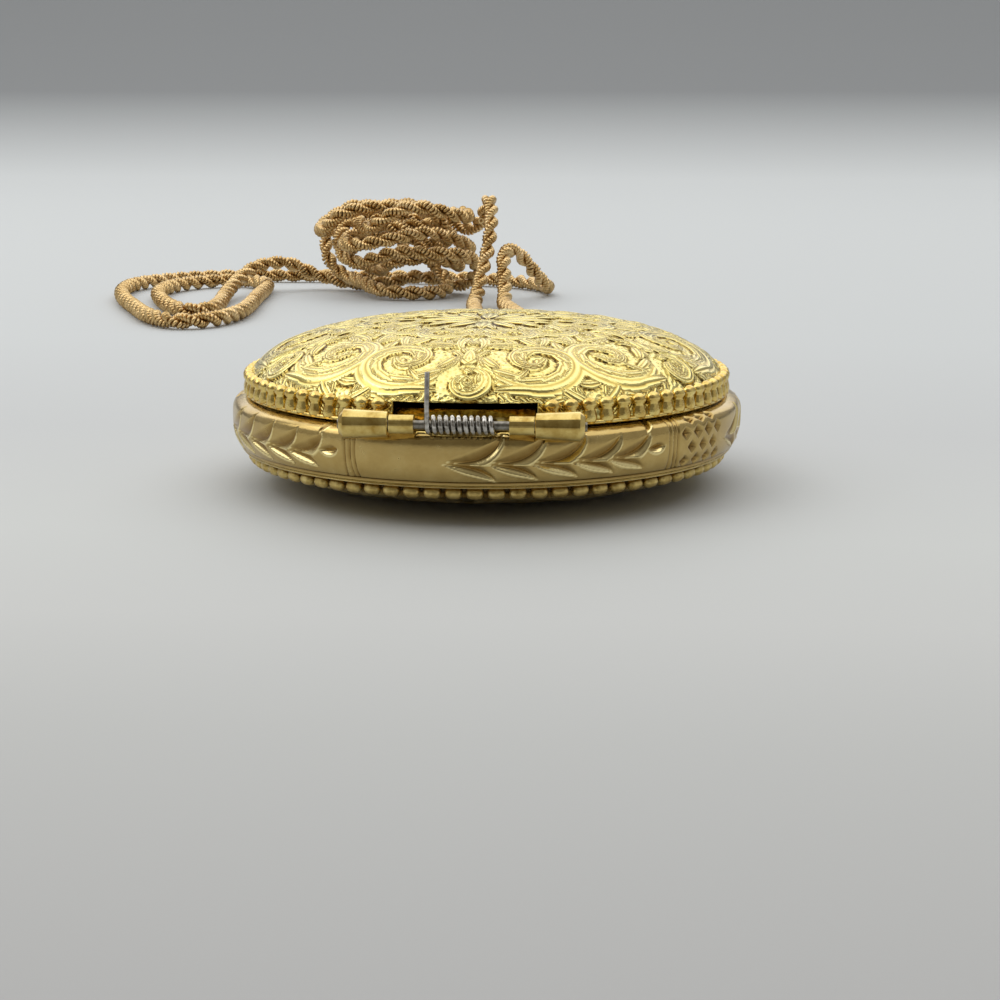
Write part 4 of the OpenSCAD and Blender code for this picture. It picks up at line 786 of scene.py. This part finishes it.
groove = cutLine(along, *cover["edgeLine"]) + cutLine(np.abs(across), *cover["leafCut"])
groove = np.clip(groove, 0, 1)
lift = np.clip(height, 0, 1.2) - 0.35 * groove * (height == 0)
fade = np.clip((along - 0.3) / 0.6, 0, 1) * np.clip((outline[1][-1] - 1.1 - along) / 0.3, 0, 1)
move = np.where(onOuter, cover["relief"] * (lift / 1.15 * fade - 1), 0)
pushOut(places, around, along, outline[1], -outwards(outline[0]), move)
groundTone, paintedLeafHighlight, paintedCutShade, insideTone = cover["tone"]
# painted highlight on the raised leaves, painted shade in the cut round each leaf and in the line
# inside the rim
tone = groundTone + paintedLeafHighlight * np.clip(height, 0, 1) - paintedCutShade * groove
finishShell(coverMesh, places, np.where(onOuter, tone, insideTone), across, onOuter)
coverMesh = cutNotch(coverMesh, cover["notch"][1])
coverShell = linkPiece("coverShell", coverMesh, "cover", "engravedGold")
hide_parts("front_cover")
print("cover carved,", len(coverMesh.polygons), "faces")

# gadroons round the rim: a short pillar under a wider head, pressed in one with the cover
rim = {"count": 84, "at": 17.3, "squash": 0.74, "sides": 12, "gap": 5.1}
pillarLine = [
    (0, 6.7), (0.48, 6.7), (0.56, 6.86), (0.55, 7.15), (0.44, 7.5), (0.38, 7.66),
    (0.56, 7.84), (0.58, 8.0), (0.46, 8.2), (0.2, 8.35), (0, 8.38),
]
pillarMesh = meshFrom(lathe([(r, 0, z) for r, z in pillarLine], rim["sides"]), "rimPillar")
rimPlaces = [
    Matrix.Rotation(math.tau * (k + 0.5) / rim["count"], 4, "Z")
    @ Matrix.Translation(Vector((rim["at"], 0, 0)) * mm)
    @ Matrix.Diagonal((rim["squash"], 1, 1, 1))
    for k in range(rim["count"])
]
rimPlaces = [
    m for m in rimPlaces if abs(m.translation.x) >= rim["gap"] * mm or m.translation.y >= 0
]
ribs = copies(pillarMesh, rimPlaces)
# and the strip under them, which closes on the band
stripLine = [(17.12, 6.9), (17.12, 6.64), (17.54, 6.62), (17.62, 6.7), (17.58, 6.86), (17.4, 6.92)]
strip = lathe([(r, 0, z) for r, z in stripLine], 360, closed=True)
ribs.from_mesh(cutNotch(meshFrom(strip, "rimStrip"), 8.2))
finishPiece("coverGadroons", ribs, "cover", "gadroonGold")

# Hinge knuckles: tapered tubes on the cover

hinge = {
    "y": -18.45,
    "z": 6.95,
    "outerIn": 4.75,
    "outerLen": 3.2,
    "outerR": 0.85,
    "flareR": 1.0,
    "chamfer": 0.3,
    "bore": 0.33,
    "soft": 0.04,  # how far each edge is rounded off
    "room": ((4.68, 8.08, 1.085), (0, 3.1, 0.755)),  # from, to and radius left free in the band
}
x0, x1 = hinge["outerIn"], hinge["outerIn"] + hinge["outerLen"]
soft, flare, chamfer = hinge["soft"], hinge["flareR"], hinge["chamfer"]
knuckleLine = [
    (x0, hinge["bore"]),
    (x0, hinge["outerR"] - soft * 2),
    (x0 + soft * 1.5, hinge["outerR"]),
    (x1 - chamfer - soft * 1.5, flare - soft / 4),
    (x1 - chamfer, flare - soft / 2),
    (x1 - soft, flare - chamfer + soft),
    (x1, flare - chamfer - soft),
    (x1, hinge["bore"]),
]
knuckle = lathe(
    [(x, hinge["y"], hinge["z"] + r) for x, r in knuckleLine],
    40,
    centre=(0, hinge["y"], hinge["z"]),
    axis=(1, 0, 0),
    closed=True,
)
bmesh.ops.mirror(
    knuckle, geom=knuckle.verts[:] + knuckle.edges[:] + knuckle.faces[:], axis="X", merge_dist=-1
)
bmesh.ops.recalc_face_normals(knuckle, faces=knuckle.faces)
finishPiece("coverKnuckles", knuckle, "cover", "polishedGold", 30)
print("hinge made")

# Band: the cast body, and its carved skin

band = {
    "radius": 18.58,
    "bulgeZ": 5.04,
    "topZ": 6.55,
    "lowZ": 2.79,
    "powLow": (3.46, 2.69),
    "shoulder": (16, 4),
    "shoulderEnd": 16.3,
    "around": 1200,
    "rows": 62,
    "wall": 0.38,
    "depth": 0.27,
    "burr": 0.04,
    "repeats": 5,
    "panelAt": -8.0,  # arc from the hinge to the first panel's left edge
    "panelLen": 6.4,
    "stemAt": 1.78,
    "cutLines": ((0.15, 0.07), (0.5, 0.07), (23.1, 0.06)),  # place and width of each
    "footLine": (0.22, 0.08),
    "diamond": (0.56, 0.5),  # half its length and height
}


def lowerLine(count, start=0):
    # the outer line of band and back together, from the foot up to the widest place
    t = np.radians(np.linspace(start, 90, count))
    r = band["radius"] * np.sin(t) ** (2 / band["powLow"][0])
    z = band["bulgeZ"] * (1 - np.clip(np.cos(t), 0, 1) ** (2 / band["powLow"][1]))
    return np.stack([r, z], 1)


def upperLine():
    t = np.radians(np.linspace(0, 90, 300))
    inR, power = band["shoulder"]
    r = inR + (band["radius"] - inR) * np.clip(np.cos(t), 0, 1) ** (2 / power)
    z = band["bulgeZ"] + (band["topZ"] - band["bulgeZ"]) * np.sin(t) ** (2 / power)
    line = np.stack([r, z], 1)[1:]
    return line[line[:, 0] > band["shoulderEnd"]]


low = lowerLine(400, 30)
outline = evenCurve(
    np.concatenate([low[low[:, 1] >= band["lowZ"]], upperLine()]), band["rows"]
)
bandOut = outwards(outline[0])
profile = [*outline[0], *(outline[0] - bandOut * band["wall"])[::-8]]
bandMesh, places, _, around, along, onSkin = turnShell(
    "bandSkin", profile, band["around"], outline, (-1, 1), 0.03, closed=True
)
period = math.tau * band["radius"] / band["repeats"]
arc = np.mod(around + math.pi / 2 + math.pi, math.tau) - math.pi
arc = arc * band["radius"] - band["panelAt"]
sector = np.floor(arc / period)
arc = np.mod(arc, period)

# gouged leaves that sweep off a bare stem, with a finer cut between each pair
gouges = []
stem = band["stemAt"]
for k, start in enumerate((6.9, 9.8, 12.7, 15.5, 18.0)):
    reach = 1 - 0.05 * k
    gouges += [
        growLeaf((start, stem + 0.12), -2, 4.6 * reach, [4, 18, 26], 0.52, 0.5, 1.0),
        growLeaf((start - 0.2, stem - 0.1), 0, 3.9 * reach, [-4, -12, -24], 0.4, 0.5, 0.95),
    ]
gouges += [
    growLeaf((20.9, stem + 0.3), 6, 1.6, [0, 0], 0.36, 0.62, 1.0),
    growLeaf((20.9, stem + 1.3), 62, 2.0, [6, 6], 0.28, 0.5, 0.8),
]


def gougeSection(u):
    # a wide slope above each cut and a steep one below it
    return np.clip(np.where(u < -0.35, (u + 1) / 0.65, (1 - u) / 1.35), 0, 1)


depth, across = carve(np.stack([arc, along], 1), gouges, gougeSection)
burr = cutLine(across, -1.25, 0.28) * (depth == 0)
# two cut lines before each panel, and a line along the foot of the band
for at, width in band["cutLines"]:
    bow = 0.25 * ((along - 2.2) / 2.2) ** 2 * (at < 5)
    line = cutLine(arc, at + bow, width) * (along > 0.35) * (along < 4.7)
    depth = np.maximum(depth, 0.6 * line)
depth = np.maximum(depth, 0.75 * cutLine(along, *band["footLine"]))
# punched diamonds fill the other panels; the one beside the hinge stays bare
halfLength, halfHeight = band["diamond"]
for row in range(4):
    for column in range(4):
        at, up = 1.4 + 1.35 * column + 0.68 * (row % 2), 0.8 + 1.0 * row
        if at <= band["panelLen"] - 0.5:
            gap = np.abs(arc - at) / halfLength + np.abs(along - up) / halfHeight
            punched = 1.3 * np.clip(1 - gap, 0, 1) * (sector % band["repeats"] != 0)
            depth = np.maximum(depth, punched)
# painted highlight on the burr and on the lower slope of each cut, which faces up to the lamps;
# painted shade in the cuts, lines and punched diamonds; the shoulder painted lighter as highlight
tone = 0.46 + 0.4 * burr - 0.36 * np.clip(depth, 0, 1)
tone += 0.6 * cutLine(across, -0.8, 0.3) * (np.abs(across) < 1)
tone += 0.25 * np.clip((along - 4.0) / 0.5, 0, 1)
move = np.where(onSkin, band["burr"] * (burr - 1) - band["depth"] * depth, 0)
pushOut(places, around, along, outline[1], bandOut, move)
# the skin gives way to the knuckles and the coil
reachY, reachZ = places[:, 1] - hinge["y"], places[:, 2] - hinge["z"]
wide = np.abs(places[:, 0])
for start, end, radius in hinge["room"]:
    beside = (wide >= start) & (wide < end)
    pushed = np.maximum(radius * beside / (np.hypot(reachY, reachZ) + 1e-6), 1)
    places[:, 1] = np.where(beside, hinge["y"] + reachY * pushed, places[:, 1])
    places[:, 2] = np.where(beside, hinge["z"] + reachZ * pushed, places[:, 2])
finishShell(bandMesh, places, np.where(onSkin, tone, 0.3), across, True)
bandSkin = linkPiece("bandSkin", bandMesh, "case", "brightCutGold")

# the solid band steps back behind its skin, except at the neck and the knuckles
trim = {"neck": (2.05, 17), "knuckles": (5, -17, 6.2), "blocks": (5, -18, 5.8), "inset": 0.4}
body = bmesh.new()
body.from_mesh(nodes["mid_case"].data)
bmesh.ops.remove_doubles(body, verts=body.verts, dist=1e-7)
for vert in body.verts:
    x, y, z = vert.co / mm
    radius = math.hypot(x, y)
    atNeck = abs(x) < trim["neck"][0] and y > trim["neck"][1]
    wide, front, low = trim["knuckles"]
    atKnuckles = abs(x) < wide and y < front and z > low
    wide, front, high = trim["blocks"]
    if abs(x) < wide and y < front and z < high and radius > 18.62:
        vert.co.y = trim["knuckles"][1] * mm
    if 16.05 < radius < 18.65 and z > 2.9 and not atNeck and not atKnuckles:
        vert.co.x *= (radius - trim["inset"]) / radius
        vert.co.y *= (radius - trim["inset"]) / radius
        vert.co.z -= 0.1 * mm if z > 5.5 else 0
caseBody = finishPiece("caseBody", body, "case", "polishedGold", 32)
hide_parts("mid_case")
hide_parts("mid_case")
print("band carved,", len(bandMesh.polygons), "faces")

# Case back: a shallow bowl with a beaded edge and a scrolled ring

back = {
    "foot": 7.0,
    "top": 2.72,
    "edgeR": 15.6,
    "wall": 0.5,
    "rows": 96,
    "around": 720,
    "relief": 0.2,
    "ring": (8.6, 17.1),  # from and to, along the bowl
    "channel": (1.74, 2.62, 0.3),
    "beads": 76,
    "beadZ": 2.2,
    "beadSize": (0.8, 1.2, 0.86),
    "beadRound": 0.39,
    "beadSunk": 0.24,
}
low = lowerLine(1600)
low = low[(low[:, 0] > back["foot"] + 1.5) & (low[:, 1] <= back["top"])]
outline = evenCurve(np.concatenate([[(back["foot"], 0)], low]), back["rows"])
backLine = outline[0]
backOut = outwards(backLine)
backIn = (backLine - backOut * back["wall"])[backLine[:, 0] < back["edgeR"] - 0.3][::-9]
profile = [(0, 0), (back["foot"] - 0.6, 0), *backLine, (back["edgeR"], back["top"])]
profile += [(r, max(z, back["wall"])) for r, z in backIn] + [(0, back["wall"])]
backMesh, places, r, around, along, onOuter = turnShell(
    "backShell", profile, back["around"], outline, (1, 1), 0.03
)
onOuter &= r > back["foot"]
spread = along + back["foot"] + 0.2
height, across = carve(foldSector(around, spread, True), primary)
fade = np.clip((spread - back["ring"][0]) / 0.3, 0, 1)
fade = fade * np.clip((back["ring"][1] - spread) / 0.3, 0, 1)
height = height * fade
lowZ, highZ, channelDepth = back["channel"]
channel = np.clip((places[:, 2] - lowZ) / 0.08, 0, 1) * np.clip((highZ - places[:, 2]) / 0.08, 0, 1)
ground = fade * (1 - np.clip(height, 0, 1))
move = np.where(onOuter, -back["relief"] * ground - channelDepth * channel - 0.01, 0)
pushOut(places, around, along, outline[1], backOut, move)
places[:, 2] = np.maximum(places[:, 2], 0)
# painted highlight on the raised scrolls, painted shade in the bead channel
tone = np.where(fade > 0, 0.3 + 0.45 * height, 0.62) - 0.5 * channel
finishShell(backMesh, places, np.where(onOuter, tone, 0.6), across, onOuter & (fade > 0))
backShell = linkPiece("backShell", backMesh, "case", "brightCutGold")
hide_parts("case_back")

bead = bmesh.new()
bmesh.ops.create_cube(bead, size=1, matrix=Matrix.Diagonal(Vector(back["beadSize"]) * mm).to_4x4())
bmesh.ops.bevel(
    bead,
    geom=bead.edges[:],
    offset=back["beadRound"] * mm,
    offset_type="OFFSET",
    segments=3,
    profile=0.5,
    affect="EDGES",
    material=-1,
)
beadMesh = meshFrom(bead, "backBead")
edgeR = np.interp(back["beadZ"], backLine[:, 1], backLine[:, 0]) - back["beadSunk"]
slope = np.interp(back["beadZ"], backLine[:, 1], np.arctan2(-backOut[:, 1], backOut[:, 0]))
beadPlaces = [
    Matrix.Rotation(math.tau * (k + 0.5) / back["beads"], 4, "Z")
    @ Matrix.Translation(Vector((edgeR, 0, back["beadZ"])) * mm)
    @ Matrix.Rotation(slope, 4, "Y")
    for k in range(back["beads"])
]
finishPiece("backBeads", copies(beadMesh, beadPlaces), "case", "beadGold")
print("back carved,", len(backMesh.polygons), "faces")

# Dial: a printed minute track outside the hour batons

dialPrint = {
    "from": 6.5,
    "to": 6.52,
    "lines": (13.05, 13.62),
    "line": 0.07,
    "tick": 0.08,
    "fifth": 0.22,
}
low, high = dialPrint["from"], dialPrint["to"]
track = bmesh.new()
for r in dialPrint["lines"]:
    far = r + dialPrint["line"]
    ring = lathe([(r, 0, low), (far, 0, low), (far, 0, high), (r, 0, high)], 180, closed=True)
    track.from_mesh(meshFrom(ring, "trackLine"))
innerLine, outerLine = dialPrint["lines"]
for k in range(60):
    width = dialPrint["tick"] if k % 5 else dialPrint["fifth"]
    middleR = (innerLine + outerLine + dialPrint["line"]) / 2
    bmesh.ops.create_cube(
        track,
        size=1,
        matrix=Matrix.Rotation(math.tau * k / 60, 4, "Z")
        @ Matrix.Translation(Vector((0, middleR, (low + high) / 2)) * mm)
        @ Matrix.Diagonal(Vector((width, outerLine - innerLine, high - low)) * mm).to_4x4(),
    )
finishPiece("dialTrack", track, "case", "dialBlack")
print("dial printed")

# Cover spring: ten close coils of round steel wire, one leg on the band, one up the cover

spring = {
    "coils": 10,
    "pitch": 0.41,
    "wire": 0.178,
    "radius": 0.51,
    "rightEnd": 2.05,
    "armTop": 3.5,
    "bandTop": 6.55,
    "steps": 24,
}
rightEnd, coilR, steps = spring["rightEnd"], spring["radius"], spring["steps"]
leftEnd = rightEnd - spring["pitch"] * spring["coils"]
wirePath = [
    (rightEnd + 0.05, 1.4, spring["bandTop"] - hinge["z"] + 0.18),
    (rightEnd + 0.04, 0.7, spring["bandTop"] - hinge["z"] + 0.16),
    (rightEnd + 0.02, 0.3, spring["bandTop"] - hinge["z"] + 0.02),
]
for k in range(spring["coils"] * steps + 1):
    turned = -math.radians(90 + 360 * k / steps)
    across = rightEnd - spring["pitch"] * k / steps
    wirePath.append((across, coilR * math.cos(turned), coilR * math.sin(turned)))
wirePath += [
    (leftEnd - 0.08, -coilR * 0.75, -coilR * 0.75),
    (leftEnd - 0.14, -coilR * 1.1, -0.1),
    (leftEnd - 0.16, -coilR * 1.15, 0.5),
    (leftEnd - 0.14, -coilR * 1.1, 1.6),
    (leftEnd - 0.1, -coilR, spring["armTop"]),
]
curve = bpy.data.curves.new("springWire", "CURVE")
curve.dimensions = "3D"
curve.bevel_depth = spring["wire"] * mm
curve.bevel_resolution = 3
curve.use_fill_caps = True
spline = curve.splines.new("POLY")
spline.points.add(len(wirePath) - 1)
for point, (x, y, z) in zip(spline.points, wirePath):
    point.co = (*(Vector((x, hinge["y"] + y, hinge["z"] + z)) * mm), 1)
wire = addObject("springWire", curve)
wireMesh = bpy.data.meshes.new_from_object(wire)
bpy.data.objects.remove(wire)
bpy.data.curves.remove(curve)
coverSpring = linkPiece("coverSpring", wireMesh, None, "springSteel", 60)
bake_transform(coverSpring)
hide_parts("cover_spring")
print("spring wound")

# Stage: a pale sweep that turns up behind into a wall painted darker as shade, in metres


def stageObject(name, bm, material):
    mesh = meshFrom(bm, name)
    mesh.shade_smooth()
    mesh.materials.append(material)
    addObject(name, mesh)


stage = {"half": 1.6, "front": -0.6, "turnAt": 0.42, "turnRadius": 0.5, "turn": 42, "steps": 8}
sweep = [(stage["front"], 0)]
for k in range(stage["steps"] + 1):
    turned = math.radians(stage["turn"] * k / stage["steps"])
    y = stage["turnAt"] + stage["turnRadius"] * math.sin(turned)
    sweep.append((y, stage["turnRadius"] * (1 - math.cos(turned))))
bm = bmesh.new()
verts = [bm.verts.new((-stage["half"], y, z)) for y, z in sweep]
edges = [bm.edges.new(pair) for pair in zip(verts, verts[1:])]
made = bmesh.ops.extrude_edge_only(bm, edges=edges)["geom"]
moved = [part for part in made if isinstance(part, bmesh.types.BMVert)]
bmesh.ops.translate(bm, verts=moved, vec=(2 * stage["half"], 0, 0))
bmesh.ops.recalc_face_normals(bm, faces=bm.faces)
# matt paper, paler behind the watch, painted darker towards the front as shade and painted darker
# as shade where it turns up
sweepPaper, tree, shader, place = startMaterial("sweepPaper", Roughness=0.75)
shader.inputs["Specular IOR Level"].default_value = 0.2
parts = addNode(tree, "ShaderNodeSeparateXYZ", links={"Vector": place})
floor = addRamp(
    tree,
    addRange(tree, parts.outputs["Y"], From_Min=-0.1, From_Max=0.1),
    [
        (0.05, "#B2B2B1"), (0.2, "#BEBFBD"), (0.3, "#C9CAC8"),
        (0.4, "#CCCECC"), (0.6, "#C7C9C9"), (0.9, "#CBCECE"),
    ],
)
# the wall is painted darker as shade as it rises
share = addRamp(
    tree,
    addRange(tree, parts.outputs["Z"], From_Min=0.002, From_Max=0.031),
    [(0.0, "#000000"), (0.35, "#A6A6A6"), (0.9, "#FFFFFF")],
)
wall = addNode(tree, "ShaderNodeMix", {"data_type": "RGBA"}, links={0: share, 6: floor})
wall.inputs[7].default_value = linear("#8A8C8D")
tree.links.new(wall.outputs[2], shader.inputs["Base Color"])
stageObject("sweep", bm, sweepPaper)

# a dark flag behind the camera, which the polished gold mirrors
flag = {"at": (0, -0.42, 0.3), "half": 0.5}
upright = Matrix.Translation(flag["at"]) @ Matrix.Rotation(math.pi / 2, 4, "X")
bm = bmesh.new()
bmesh.ops.create_grid(bm, x_segments=1, y_segments=1, size=flag["half"], matrix=upright)
# dull felt
flagCloth, _, shader, _ = startMaterial("flagCloth", Roughness=0.9)
shader.inputs["Base Color"].default_value = linear("#7A766E")
stageObject("flag", bm, flagCloth)

# Light: broad softboxes overhead and behind, a small key, and a soft room; metres and watts
lights = {
    "over": {"place": (0, 0.2, 0.65), "aim": (0, 0.05, 0), "size": (1.4, 1.1), "watts": 4.6},
    "back": {"place": (-0.2, 1.25, 0.62), "aim": (0, 0, 0), "size": (2.2, 0.7), "watts": 4.4},
    "key": {"place": (-0.42, -0.05, 0.42), "aim": (0, 0, 0), "size": (0.4, 0.4), "watts": 0.7},
}
for name, look in lights.items():
    data = bpy.data.lights.new(name, "AREA")
    data.shape = "RECTANGLE"
    data.size, data.size_y = look["size"]
    data.energy = look["watts"]
    lamp = addObject(name, data)
    lamp.location = look["place"]
    towards = Vector(look["aim"]) - Vector(look["place"])
    lamp.rotation_euler = towards.to_track_quat("-Z", "Y").to_euler()

scene.world = bpy.data.worlds.new("studioRoom")
scene.world.use_nodes = True
room = scene.world.node_tree.nodes["Background"]
room.inputs["Color"].default_value = (0.9, 0.9, 0.9, 1)
room.inputs["Strength"].default_value = 0.45
print("stage lit")
